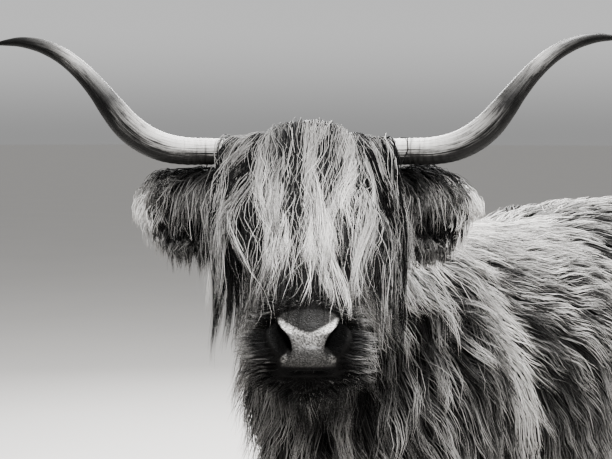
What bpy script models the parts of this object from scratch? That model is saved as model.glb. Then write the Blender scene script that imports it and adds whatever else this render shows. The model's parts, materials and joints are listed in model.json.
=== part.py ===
"""A highland cow, life size, standing with its head turned to its left.

Metres, +Z up. The cow faces -Y and +X is its left side. Everything is laid out from the point on the
floor under the withers, and an empty then moves it so that the middle of its outline is over the origin.
"""

import math
import random

import bmesh
import bpy
import numpy as np
from mathutils import Matrix, Vector
from mathutils.bvhtree import BVHTree

GAP = 0.0003

WITHERS_FROM_MIDDLE = Vector((-0.132, -0.224, 0.0))
HEAD_YAW = math.radians(38)
FACE_SLOPE = math.radians(50)
HEAD_AT = Vector((0.178, -0.522, 1.279))

SEED = 11
COAT = {"torso": 0.020, "neck": 0.022, "thigh": 0.012, "shin": 0.004, "head": 0.003, "switch": 0.012}
BODY_VOXEL = 0.013
HEAD_VOXEL = 0.007
TRIANGLES = {"torso": 1150, "neck": 1700, "upper": 2400, "lower": 3200, "head": 1650}

# Locks of the coat: spacing of their roots, length, half width, thickness, how far their tips stand off.
LOCKS = {
    "torso": (0.148, 0.310, 0.064, 0.015, 0.030),
    "neck": (0.100, 0.260, 0.046, 0.014, 0.034),
    "upper": (0.088, 0.150, 0.032, 0.010, 0.018),
}

# Along the back, from the brisket to the pin bones: y, top line, under line, half width.
TORSO = np.array([
    (-0.300, 0.960, 0.700, 0.115),
    (-0.220, 1.060, 0.600, 0.195),
    (-0.100, 1.105, 0.540, 0.240),
    (0.050, 1.115, 0.515, 0.250),
    (0.250, 1.100, 0.505, 0.275),
    (0.450, 1.098, 0.500, 0.300),
    (0.630, 1.115, 0.515, 0.300),
    (0.800, 1.132, 0.560, 0.278),
    (0.930, 1.138, 0.620, 0.258),
    (1.040, 1.125, 0.690, 0.222),
    (1.120, 1.080, 0.780, 0.160),
])

# From the poll down to the dewlap: centre x, y, z, half width, half height.
NECK = np.array([
    (0.168, -0.514, 1.198, 0.080, 0.100),
    (0.122, -0.438, 1.148, 0.086, 0.124),
    (0.068, -0.338, 1.062, 0.104, 0.165),
    (0.022, -0.230, 0.970, 0.132, 0.210),
    (0.000, -0.115, 0.900, 0.160, 0.230),
])

# Down the face, from the poll to the lips: distance along it, top and bottom of the section, half width.
HEAD = np.array([
    (-0.045, 0.002, -0.055, 0.050),
    (-0.020, 0.022, -0.085, 0.080),
    (0.020, 0.030, -0.115, 0.098),
    (0.060, 0.029, -0.135, 0.104),
    (0.110, 0.026, -0.142, 0.107),
    (0.150, 0.022, -0.136, 0.102),
    (0.200, 0.018, -0.122, 0.086),
    (0.250, 0.017, -0.114, 0.071),
    (0.300, 0.018, -0.110, 0.063),
    (0.340, 0.020, -0.106, 0.064),
    (0.370, 0.018, -0.104, 0.068),
    (0.395, 0.008, -0.100, 0.068),
    (0.412, -0.006, -0.094, 0.061),
    (0.424, -0.024, -0.082, 0.044),
])

# Down each leg: y, x, z, half width, half length of the section.
FORELEG = np.array([
    (-0.030, 0.165, 0.780, 0.070, 0.120),
    (-0.020, 0.165, 0.600, 0.068, 0.092),
    (-0.025, 0.160, 0.450, 0.052, 0.062),
    (-0.035, 0.155, 0.340, 0.044, 0.048),
    (-0.030, 0.155, 0.300, 0.040, 0.044),
    (-0.025, 0.155, 0.200, 0.031, 0.035),
    (-0.030, 0.155, 0.120, 0.038, 0.042),
    (-0.050, 0.155, 0.050, 0.040, 0.046),
])
HIND_LEG = np.array([
    (0.960, 0.160, 0.880, 0.085, 0.160),
    (0.985, 0.170, 0.720, 0.082, 0.145),
    (1.020, 0.168, 0.580, 0.062, 0.098),
    (1.085, 0.160, 0.470, 0.044, 0.064),
    (1.120, 0.155, 0.400, 0.038, 0.054),
    (1.110, 0.155, 0.340, 0.035, 0.046),
    (1.085, 0.155, 0.220, 0.031, 0.037),
    (1.062, 0.155, 0.120, 0.038, 0.042),
    (1.038, 0.155, 0.050, 0.040, 0.046),
])

NECK_CUT_AT = Vector((0.0, -0.220, 0.930))
NECK_CUT_FACING = Vector((0.0, -1.0, 1.0)).normalized()
HEAD_CUT_BACK = 0.052
FORELEG_CELL = {"x": (0.050, 0.400), "y": (-0.150, 0.110), "top": 0.540, "joint": 0.345}
HIND_LEG_CELL = {"x": (0.040, 0.400), "y": (0.860, 1.400), "top": 0.620, "joint": 0.385}
CORONET_HEIGHT = 0.075

EYE_ALONG, EYE_DOWN, EYE_OUT, EYE_RADIUS = 0.140, -0.010, 0.097, 0.019

# Rows of the forelock: place of the roots down the face, half width of the row, locks, length, lift.
FORELOCK_ROWS = (
    (-0.030, 0.078, 5, 0.250, 0.036),
    (-0.004, 0.104, 8, 0.350, 0.036),
    (0.070, 0.076, 5, 0.250, 0.016),
)

# Out from the middle of the head, forward, up and radius of each horn.
HORN = np.array([
    (0.088, -0.004, -0.004, 0.0225),
    (0.130, 0.000, 0.000, 0.0228),
    (0.175, 0.006, 0.001, 0.0230),
    (0.215, 0.014, 0.002, 0.0238),
    (0.252, 0.024, 0.009, 0.0248),
    (0.284, 0.034, 0.024, 0.0252),
    (0.311, 0.042, 0.046, 0.0246),
    (0.334, 0.047, 0.074, 0.0222),
    (0.358, 0.049, 0.106, 0.0185),
    (0.386, 0.048, 0.137, 0.0160),
    (0.418, 0.043, 0.163, 0.0142),
    (0.455, 0.034, 0.181, 0.0120),
    (0.492, 0.022, 0.189, 0.0090),
    (0.522, 0.010, 0.189, 0.0055),
    (0.545, 0.000, 0.187, 0.0022),
])
LEFT_TIP_RISE = 0.010

# From the root of the ear to its tip: share of its length, half width, depth of the cup, thickness.
EAR_LENGTH = 0.200
EAR_SECTIONS = np.array([
    (0.00, 0.020, 0.010, 0.030),
    (0.15, 0.026, 0.014, 0.026),
    (0.30, 0.042, 0.026, 0.013),
    (0.50, 0.054, 0.032, 0.008),
    (0.70, 0.050, 0.028, 0.007),
    (0.88, 0.030, 0.015, 0.006),
    (1.00, 0.006, 0.003, 0.004),
])

# Down the middle of the tail: y, z, radius.
TAIL = np.array([
    (1.090, 1.075, 0.034),
    (1.160, 1.100, 0.031),
    (1.222, 1.060, 0.026),
    (1.248, 0.970, 0.021),
    (1.254, 0.860, 0.018),
    (1.252, 0.740, 0.016),
    (1.248, 0.620, 0.014),
    (1.244, 0.520, 0.010),
])
TAIL_CUT_HEIGHT = 0.740

FOOT_Y = {"fore": -0.044, "hind": 1.046}
FOOT_X = 0.155
CLAW_FROM_MIDDLE, CLAW_HALF_WIDTH, CLAW_HALF_LENGTH = 0.0205, 0.0185, 0.052

# Up a claw: height, swelling of its section, how far ahead of the foot's middle it lies.
CLAW_RINGS = (
    (0.0, 1.00, 0.014),
    (0.010, 1.02, 0.013),
    (0.040, 0.95, 0.006),
    (CORONET_HEIGHT - GAP / 2, 0.86, 0.0),
)

COLOURS = {
    "coat": (0.56, 0.54, 0.51, 1.0),
    "horn": (0.42, 0.40, 0.37, 1.0),
    "hoof": (0.08, 0.075, 0.07, 1.0),
    "eye": (0.02, 0.018, 0.016, 1.0),
}
ROUGHNESS = {"coat": 0.75, "horn": 0.35, "hoof": 0.5, "eye": 0.05}


def clear_scene():
    for thing in list(bpy.data.objects):
        bpy.data.objects.remove(thing)


def dress(thing, slot):
    """Gives a finished node its material, smooth shading and its place under the empty."""
    paint = bpy.data.materials.new(f"{thing.name}_{slot}")
    paint.use_nodes = True
    shader = paint.node_tree.nodes["Principled BSDF"]
    shader.inputs["Base Color"].default_value = COLOURS[slot]
    shader.inputs["Roughness"].default_value = ROUGHNESS[slot]
    shader.inputs["Metallic"].default_value = 0.0
    thing.data.materials.clear()
    thing.data.materials.append(paint)
    for face in thing.data.polygons:
        face.use_smooth = True
    thing.parent = bpy.data.objects["cow"]
    return thing


def object_of(name, points, faces):
    mesh = bpy.data.meshes.new(name)
    mesh.from_pydata([tuple(p) for p in points], [], faces)
    mesh.update()
    thing = bpy.data.objects.new(name, mesh)
    bpy.context.scene.collection.objects.link(thing)
    return thing


def face_outwards(thing):
    """Triangles all facing out, so that a grown copy bends along the same edges."""
    shape = bmesh.new()
    shape.from_mesh(thing.data)
    bmesh.ops.triangulate(shape, faces=shape.faces)
    bmesh.ops.recalc_face_normals(shape, faces=shape.faces)
    shape.to_mesh(thing.data)
    shape.free()
    return thing


def smooth_rows(rows, count):
    """A Catmull-Rom curve through the rows, read at evenly spaced places."""
    rows = np.asarray(rows, float)
    ends = np.vstack([2 * rows[0] - rows[1], rows, 2 * rows[-1] - rows[-2]])
    places = np.linspace(0, len(rows) - 1, count)
    first = np.minimum(places.astype(int), len(rows) - 2)
    t = (places - first)[:, None]
    a, b, c, d = (ends[first + k] for k in range(4))
    return 0.5 * (2 * b + (c - a) * t + (2 * a - 5 * b + 4 * c - d) * t**2 + (3 * b - a - 3 * c + d) * t**3)


def round_section(sides, squareness):
    """Points round a superellipse of half sizes one, as columns across and up."""
    turn = np.arange(sides) * 2 * math.pi / sides
    cos, sin = np.cos(turn), np.sin(turn)
    power = 2 / squareness
    return np.column_stack([np.sign(cos) * abs(cos) ** power, np.sign(sin) * abs(sin) ** power])


def loft(name, rings):
    """A closed skin over rings of equal counts, with its two ends closed by fans."""
    rings = [np.asarray(ring, float) for ring in rings]
    sides = len(rings[0])
    points = np.vstack([*rings, rings[0].mean(0), rings[-1].mean(0)])
    faces = []
    for k in range(len(rings) - 1):
        for j in range(sides):
            a, b = k * sides + j, k * sides + (j + 1) % sides
            faces.append((a, b, b + sides, a + sides))
    start, end, last = len(points) - 2, len(points) - 1, (len(rings) - 1) * sides
    for j in range(sides):
        faces.append((start, (j + 1) % sides, j))
        faces.append((end, last + j, last + (j + 1) % sides))
    return face_outwards(object_of(name, points, faces))


def ellipsoid(name, centre, radii, turn=Matrix.Identity(3), segments=16, rings=10):
    shape = bmesh.new()
    bmesh.ops.create_uvsphere(shape, u_segments=segments, v_segments=rings, radius=1)
    mesh = bpy.data.meshes.new(name)
    place = Matrix.Translation(centre) @ turn.to_4x4() @ Matrix.Diagonal((*radii, 1))
    bmesh.ops.transform(shape, matrix=place, verts=shape.verts)
    bmesh.ops.recalc_face_normals(shape, faces=shape.faces)
    shape.to_mesh(mesh)
    shape.free()
    thing = bpy.data.objects.new(name, mesh)
    bpy.context.scene.collection.objects.link(thing)
    return thing


def box(name, low, high, place=Matrix.Identity(4)):
    spans = list(zip(low, high))
    corners = [place @ Vector((x, y, z)) for z in spans[2] for y in spans[1] for x in spans[0]]
    faces = [(0, 2, 3, 1), (4, 5, 7, 6), (0, 1, 5, 4), (2, 6, 7, 3), (0, 4, 6, 2), (1, 3, 7, 5)]
    return object_of(name, corners, faces)


def bake(thing):
    """Applies the object's modifiers to its mesh."""
    graph = bpy.context.evaluated_depsgraph_get()
    made = bpy.data.meshes.new_from_object(thing.evaluated_get(graph))
    thing.modifiers.clear()
    thing.data = made
    return thing


def combine(thing, others, operation):
    """One Boolean of an object with a collection of closed meshes, which are then removed."""
    group = bpy.data.collections.new("group")
    bpy.context.scene.collection.children.link(group)
    for other in others:
        bpy.context.scene.collection.objects.unlink(other)
        group.objects.link(other)
    step = thing.modifiers.new("join", "BOOLEAN")
    step.operand_type = "COLLECTION"
    step.collection = group
    step.operation = operation
    step.solver = "EXACT"
    bake(thing)
    for other in list(group.objects):
        bpy.data.objects.remove(other)
    bpy.data.collections.remove(group)
    return thing


def keep_largest(thing):
    """Leaves only the largest closed surface of a mesh."""
    shape = bmesh.new()
    shape.from_mesh(thing.data)
    bmesh.ops.triangulate(shape, faces=shape.faces)
    unseen = set(shape.faces)
    islands = []
    while unseen:
        front = [unseen.pop()]
        island = list(front)
        while front:
            for edge in front.pop().edges:
                for face in edge.link_faces if edge.is_manifold else ():
                    if face in unseen:
                        unseen.remove(face)
                        front.append(face)
                        island.append(face)
        islands.append(island)

    def size(island):
        corners = ([vert.co for vert in face.verts] for face in island)
        return abs(sum(a.dot(b.cross(c)) for a, b, c in corners))

    sizes = [size(island) for island in islands]
    largest = sizes.index(max(sizes))
    scraps = [face for k, island in enumerate(islands) if k != largest for face in island]
    bmesh.ops.delete(shape, geom=scraps, context="FACES")
    shape.to_mesh(thing.data)
    shape.free()
    return thing


def in_head(out, forward, up):
    """A place given from the middle of the horns: out to the cow's left, forward and up."""
    return HEAD_PLACE @ Vector((out, -forward, up))


def on_face(along, rise, out):
    """A place given along the slope of the face from the horns, out from it, and to the cow's left."""
    forward = along * math.cos(FACE_SLOPE) + rise * math.sin(FACE_SLOPE)
    up = rise * math.cos(FACE_SLOPE) - along * math.sin(FACE_SLOPE)
    return in_head(out, forward, up)


HEAD_PLACE = Matrix.Translation(HEAD_AT) @ Matrix.Rotation(HEAD_YAW, 4, "Z")
FACE_TURN = Matrix((
    Vector((1, 0, 0)),
    Vector((0, -math.cos(FACE_SLOPE), -math.sin(FACE_SLOPE))),
    Vector((0, -math.sin(FACE_SLOPE), math.cos(FACE_SLOPE))),
)).transposed()
HEAD_TURN = HEAD_PLACE.to_3x3() @ FACE_TURN


def torso_flesh(coat):
    section = round_section(24, 2.3)
    rings = []
    for y, top, bottom, half in smooth_rows(TORSO, 17):
        middle, height = (top + bottom) / 2, (top - bottom) / 2 + coat
        ring = section * (half + coat, height)
        rings.append(np.column_stack([ring[:, 0], np.full(len(ring), y), middle + ring[:, 1]]))
    chest, rump = rings[0].copy(), rings[-1].copy()
    for ring, back, squeeze in ((chest, -0.045 - coat, 0.45), (rump, 0.045 + coat, 0.5)):
        middle = ring.mean(0)
        ring[:] = middle + (ring - middle) * squeeze
        ring[:, 1] += back
    pieces = [loft("torso", [chest, *rings, rump])]
    for side in (1, -1):
        pieces.append(ellipsoid("shoulder", (side * 0.165, -0.06, 0.83), (0.095 + coat, 0.155 + coat, 0.24)))
        pieces.append(ellipsoid("haunch", (side * 0.150, 0.97, 0.84), (0.115 + coat, 0.175 + coat, 0.22)))
        pieces.append(ellipsoid("hip", (side * 0.185, 0.86, 1.075), (0.055 + coat, 0.085, 0.045 + coat)))
    pieces.append(ellipsoid("brisket", (0.0, -0.245, 0.665), (0.085 + coat, 0.115 + coat, 0.125 + coat)))
    return pieces


def neck_flesh(coat):
    rows = smooth_rows(NECK, 9)
    path = rows[:, :3]
    section = round_section(20, 2.1)
    rings = []
    for k, row in enumerate(rows):
        along = Vector(path[min(k + 1, len(path) - 1)] - path[max(k - 1, 0)]).normalized()
        across = Vector((-along.y, along.x, 0)).normalized()
        up = across.cross(along)
        up = up if up.z > 0 else -up
        ring = section * (row[3] + coat, row[4] + coat)
        rings.append(row[:3] + ring[:, :1] * np.array(across) + ring[:, 1:] * np.array(up))
    return [loft("neck", rings)]


def head_flesh(coat):
    section = round_section(24, 2.35)
    rings = []
    for along, top, bottom, half in smooth_rows(HEAD, 30):
        middle, height = (top + bottom) / 2, (top - bottom) / 2 + coat
        rings.append([on_face(along, middle + up * height, out * (half + coat)) for out, up in section])
    pieces = [loft("head", rings)]

    def lump(along, rise, out, long, high, wide):
        pieces.append(ellipsoid("lump", on_face(along, rise, out), (wide, long, high), HEAD_TURN))

    for side in (1, -1):
        lump(EYE_ALONG - 0.006, -0.004, side * 0.078, 0.040, 0.032, 0.033)
        lump(0.100, -0.080, side * 0.068, 0.075, 0.055, 0.042)
        lump(0.384, -0.010, side * 0.044, 0.032, 0.026, 0.028)
        lump(-0.004, -0.004, side * 0.086, 0.034, 0.030, 0.030)
        lump(0.385, -0.048, side * 0.046, 0.038, 0.026, 0.028)
    lump(-0.016, 0.008, 0.0, 0.038, 0.034, 0.072)
    lump(0.402, -0.020, 0.0, 0.022, 0.026, 0.048)
    lump(0.398, -0.086, 0.0, 0.034, 0.022, 0.044)
    return pieces


def leg_flesh(rows, side, thigh_coat, shin_coat, knee):
    rings = []
    section = round_section(16, 2.1)
    for y, x, z, half, long in smooth_rows(rows, 18):
        coat = thigh_coat if z > knee else shin_coat
        ring = section * (half + coat, long + coat)
        rings.append(np.column_stack([side * x + ring[:, 0], y + ring[:, 1], np.full(len(ring), z)]))
    return loft("leg", rings)


def fused(name, pieces, voxel, smoothing):
    """Overlapping closed pieces melted into one skin by a voxel remesh and a light smoothing."""
    shape = bmesh.new()
    for piece in pieces:
        shape.from_mesh(piece.data)
        bpy.data.objects.remove(piece)
    mesh = bpy.data.meshes.new(name)
    shape.to_mesh(mesh)
    shape.free()
    thing = bpy.data.objects.new(name, mesh)
    bpy.context.scene.collection.objects.link(thing)
    melt = thing.modifiers.new("melt", "REMESH")
    melt.mode = "VOXEL"
    melt.voxel_size = voxel
    soften = thing.modifiers.new("soften", "SMOOTH")
    soften.factor = 0.5
    soften.iterations = smoothing
    return bake(thing)


def thinned(thing, triangles):
    have = sum(len(face.vertices) - 2 for face in thing.data.polygons)
    fewer = thing.modifiers.new("fewer", "DECIMATE")
    fewer.ratio = min(1.0, triangles / have)
    return bake(thing)


def copy_of(thing, name):
    double = thing.copy()
    double.data = thing.data.copy()
    double.name = name
    bpy.context.scene.collection.objects.link(double)
    return double


def beyond(at, facing, margin):
    """A big block on the side of a plane that it faces, starting a margin away from it."""
    turn = facing.to_track_quat("Z", "Y").to_matrix().to_4x4()
    return box("block", (-2, -2, margin), (2, 2, 4), Matrix.Translation(at) @ turn)


def leg_block(cell, side, low, high, grow):
    x0, x1 = sorted(side * x for x in cell["x"])
    y0, y1 = cell["y"]
    return box("cell", (x0 - grow, y0 - grow, low - grow), (x1 + grow, y1 + grow, high + grow))


def grown(thing, amount):
    """A copy of a round closed shape, pushed out along its normals."""
    double = copy_of(thing, "grown")
    count = len(double.data.vertices)
    points = np.empty(count * 3)
    normals = np.empty(count * 3)
    double.data.vertices.foreach_get("co", points)
    double.data.vertex_normals.foreach_get("vector", normals)
    double.data.vertices.foreach_set("co", points + normals * amount)
    double.data.update()
    return double


def horn(side):
    rows = smooth_rows(HORN, 18)
    path = []
    for out, forward, up, radius in rows.tolist():
        rise = LEFT_TIP_RISE * max(0.0, (out - 0.36) / 0.185) if side > 0 else 0.0
        path.append((in_head(side * out, forward, up + rise), radius))
    rings = []
    for k, (middle, radius) in enumerate(path):
        along = (path[min(k + 1, len(path) - 1)][0] - path[max(k - 1, 0)][0]).normalized()
        ahead = HEAD_PLACE.to_3x3() @ Vector((0, -1, 0))
        up = along.cross(ahead).normalized()
        ahead = up.cross(along)
        rings.append([middle + radius * (ahead * math.cos(turn) + up * math.sin(turn)) for turn in TWELFTHS])
    return loft("horn_left" if side > 0 else "horn_right", rings)


def ear(side):
    """A drooping leaf, cupped towards the front, on a short stalk."""
    rings = []
    for t, half, cup, thick in smooth_rows(EAR_SECTIONS, 9).tolist():
        droop = 0.020 * t + 0.024 * t * t
        middle = Vector((side * (0.086 + EAR_LENGTH * t), 0.006 - 0.030 * t, -0.066 - droop))
        ring = []
        for layer, turns in ((0, np.linspace(-1, 1, 6)), (1, np.linspace(1, -1, 6))):
            for turn in turns.tolist():
                edge = 1 - turn * turn
                forward = -cup * edge + (thick * (0.35 + 0.65 * edge) if layer else 0.0)
                up = half * turn
                ring.append(in_head(middle.x, middle.y + forward - 0.30 * up, middle.z + up))
        rings.append(ring)
    return loft("ear_left" if side > 0 else "ear_right", rings)


def tail_flesh(coat):
    rings = []
    rows = smooth_rows(TAIL, 16).tolist()
    for k, (y, z, radius) in enumerate(rows):
        before, after = rows[max(k - 1, 0)], rows[min(k + 1, len(rows) - 1)]
        along = Vector((0, after[0] - before[0], after[1] - before[1])).normalized()
        back = Vector((1, 0, 0)).cross(along)
        wide = radius + (coat if z < TAIL_CUT_HEIGHT else 0.0)
        middle, across = Vector((0, y, z)), Vector((1, 0, 0))
        rings.append([middle + wide * (across * math.cos(t) + back * math.sin(t)) for t in TWELFTHS])
    return loft("tail", rings)


def tube(path, radii, sides=6):
    """A closed round rod through the points of a path."""
    rings = []
    for k, (middle, radius) in enumerate(zip(path, radii)):
        along = (path[min(k + 1, len(path) - 1)] - path[max(k - 1, 0)]).normalized()
        across = along.orthogonal() if k == 0 else across - along * across.dot(along)
        across = across.normalized()
        up = along.cross(across)
        turns = [2 * math.pi * j / sides for j in range(sides)]
        rings.append([middle + radius * (across * math.cos(t) + up * math.sin(t)) for t in turns])
    return loft("rod", rings)


def lock(path, outs, half_width, thickness):
    """A flat lock of three-sided sections, widest a third of the way down and tapered to a point."""
    rings = []
    last = len(path) - 1
    side = (path[1] - path[0]).cross(outs[0]).normalized()
    for k in range(last):
        share = k / last
        along = (path[k + 1] - path[max(k - 1, 0)]).normalized()
        turned = along.cross(outs[k])
        turned = turned if turned.dot(side) > 0 else -turned
        side = turned if turned.length > 0.5 else turned + side
        side = (side - along * along.dot(side)).normalized()
        out = side.cross(along)
        wide = half_width * (0.55 + 0.45 * min(1.0, share * 3)) * (1 - share**2.4)
        high = thickness * (1 - 0.6 * share)
        rings.append([path[k] - side * wide, path[k] + side * wide, path[k] + out * high])
    points = [point for ring in rings for point in ring] + [path[last]]
    faces = [(2, 1, 0)]
    for k in range(last - 1):
        for j in range(3):
            a, b = 3 * k + j, 3 * k + (j + 1) % 3
            faces.append((a, b, b + 3, a + 3))
    tip, ring = len(points) - 1, 3 * (last - 1)
    faces += [(ring + j, ring + (j + 1) % 3, tip) for j in range(3)]
    return face_outwards(object_of("lock", points, faces))


def crosses_itself(thing):
    shape = bmesh.new()
    shape.from_mesh(thing.data)
    shape.faces.ensure_lookup_table()
    tree = BVHTree.FromBMesh(shape)
    corners = [set(face.verts) for face in shape.faces]
    crossed = any(not corners[a] & corners[b] for a, b in tree.overlap(tree))
    shape.free()
    return crossed


def is_sound(thing):
    shape = bmesh.new()
    shape.from_mesh(thing.data)
    bmesh.ops.remove_doubles(shape, verts=shape.verts, dist=2e-7)
    whole = all(len(edge.link_faces) == 2 for edge in shape.edges)
    shape.free()
    return whole


def sound_lock(path, outs, half_width, thickness):
    """A lock narrow enough for its bends, or none."""
    for narrower in (1.0, 0.7, 0.45):
        made = lock(path, outs, half_width * narrower, thickness)
        if not crosses_itself(made):
            return [made]
        bpy.data.objects.remove(made)
    return []


def anywhere(spot):
    return True


def follow(tree, root, sink, heading, steps, length, lift, allowed):
    """The path of a lock over a core: it keeps off the core more and more, and hangs free beyond it."""
    near, out, _, _ = tree.find_nearest(root)
    path, outs = [near - out * sink], [out]
    spot = near
    ahead = Vector((0, 0, 0))
    for k in range(1, steps + 1):
        share = k / steps
        ahead = (heading(spot, out, share).normalized() + 0.5 * ahead).normalized()
        spot = spot + ahead * (length / steps)
        near, out, _, _ = tree.find_nearest(spot)
        height = (spot - near).dot(out)
        if height < lift * share:
            spot = spot + out * (lift * share - height)
        if not allowed(spot):
            break
        path.append(spot)
        outs.append(out)
    return path, outs


def spread_roots(core, spacing, chance, wanted):
    """Places on a core about a spacing apart, in a random order."""
    mesh = core.data
    places = []
    faces = [(f.center.copy(), f.normal.copy(), f.area) for f in mesh.polygons]
    weights = [area for _, _, area in faces]
    corners = [[mesh.vertices[i].co.copy() for i in f.vertices] for f in mesh.polygons]
    for number in chance.choices(range(len(faces)), weights, k=6000):
        a, b, c = corners[number][:3]
        u, v = chance.random(), chance.random()
        if u + v > 1:
            u, v = 1 - u, 1 - v
        spot = a + (b - a) * u + (c - a) * v
        if wanted(spot, faces[number][1]) and all((spot - other).length > spacing for other in places):
            places.append(spot)
    return places


def coat_over(core, kind, heading, wanted, allowed, seed):
    """Joins a coat of locks to a core, and draws them again if any of them meet along an edge."""
    spacing, length, half_width, thickness, lift = LOCKS[kind]
    tree = BVHTree.FromObject(core, bpy.context.evaluated_depsgraph_get())
    bare = core.data
    for attempt in range(12):
        chance = random.Random(seed + 50 * attempt)
        made = []
        for root in spread_roots(core, spacing, chance, wanted):
            long = length * chance.uniform(0.85, 1.15)
            sway = chance.uniform(-0.35, 0.35)

            def swayed(spot, out, share):
                lie = heading(spot, out)
                return lie + lie.cross(out) * sway * math.cos(2.6 * share)

            high, wide = lift * chance.uniform(0.8, 1.2), half_width * chance.uniform(0.85, 1.15)
            for shorter in (1.0, 0.75, 0.55):
                path, outs = follow(tree, root, 0.008, swayed, 5, long * shorter, high, allowed)
                if len(path) == 6:
                    made += sound_lock(path, outs, wide * (0.4 + 0.6 * shorter), thickness)
                    break
        if is_sound(combine(core, made, "UNION")):
            return core
        core.data = bare
    return core


def flank_lie(spot, out):
    """Back along the top of the body, then down over its sides, and straight down below."""
    high = min(1.0, max(0.0, (spot.z - 0.82) / 0.26))
    ahead = Vector((0.35 * high * math.copysign(1, spot.x), 0.30 + 0.75 * high, -1.0 + 0.62 * high))
    if spot.z < 0.56:
        ahead = Vector((0.0, 0.10, -1.0))
    along = ahead - out * ahead.dot(out)
    return along if along.length > 0.25 else ahead


def neck_lie(spot, out):
    """From the crest of the neck down both its sides, and hanging below."""
    ahead = Vector((0.0, 0.30, -1.0))
    along = ahead - out * ahead.dot(out)
    return along if along.length > 0.25 else ahead


def leg_lie(spot, out):
    ahead = Vector((0.0, 0.25, -1.0))
    return ahead - out * ahead.dot(out)


def behind(at, facing, margin):
    return lambda spot: (spot - at).dot(facing) < -margin


def near_leg(spot, margin):
    """Whether a place lies in or below one of the leg cells."""
    for cell in (FORELEG_CELL, HIND_LEG_CELL):
        (x0, x1), (y0, y1) = cell["x"], cell["y"]
        within_x = x0 - margin < abs(spot.x) < x1 + margin
        within_y = y0 - margin < spot.y < y1 + margin
        if within_x and within_y and spot.z < cell["top"] + margin:
            return True
    return False


def eye_middle(side):
    return on_face(EYE_ALONG, EYE_DOWN, side * EYE_OUT)


def lids(side):
    """The upper and lower lid, as arcs that lean against the eyeball from corner to corner."""
    outward = HEAD_PLACE.to_3x3() @ Vector((side * 0.95, -0.28, 0.10)).normalized()
    along = HEAD_PLACE.to_3x3() @ Vector((0.0, -0.80, -0.60))
    along = (along - outward * along.dot(outward)).normalized()
    rise = along.cross(outward)
    rise = rise if rise.z > 0 else -rise
    made = []
    for way, height, thick in ((1, 0.0115, 0.0050), (-1, 0.0095, 0.0042)):
        path = []
        for t in np.linspace(0.0, math.pi, 6).tolist():
            reach = along * (0.0185 * math.cos(t)) + rise * (way * height * math.sin(t))
            lift = math.sqrt(max(EYE_RADIUS**2 - reach.length_squared, 0.00002)) + 0.0015
            path.append(eye_middle(side) + reach + outward * lift)
        made.append(tube(path, [0.0030, *[thick] * 4, 0.0030], 5))
    return made


def mouth_line(head):
    """A groove that follows the lips from corner to corner."""
    skin = BVHTree.FromObject(head, bpy.context.evaluated_depsgraph_get())
    path = []
    for t in np.linspace(-1.25, 1.25, 13).tolist():
        guess = on_face(0.310 + 0.118 * math.cos(t), -0.062 + 0.026 * math.cos(t), 0.076 * math.sin(t))
        path.append(skin.find_nearest(guess)[0])
    even = [skin.find_nearest((a + 2 * b + c) / 4)[0] for a, b, c in zip(path, path[1:], path[2:])]
    return tube(even, [0.0015, *[0.0036] * 9, 0.0015], 5)


def claw(name, x, y):
    rings = []
    for z, swell, ahead in CLAW_RINGS:
        half, long = CLAW_HALF_WIDTH * swell, CLAW_HALF_LENGTH * swell
        ring = []
        for across, along in round_section(12, 2.5).tolist():
            narrow = 1 - 0.35 * max(0.0, -along) ** 2
            ring.append((x + half * across * narrow, y - ahead + long * along, z))
        rings.append(ring)
    return loft(name, rings)


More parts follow.
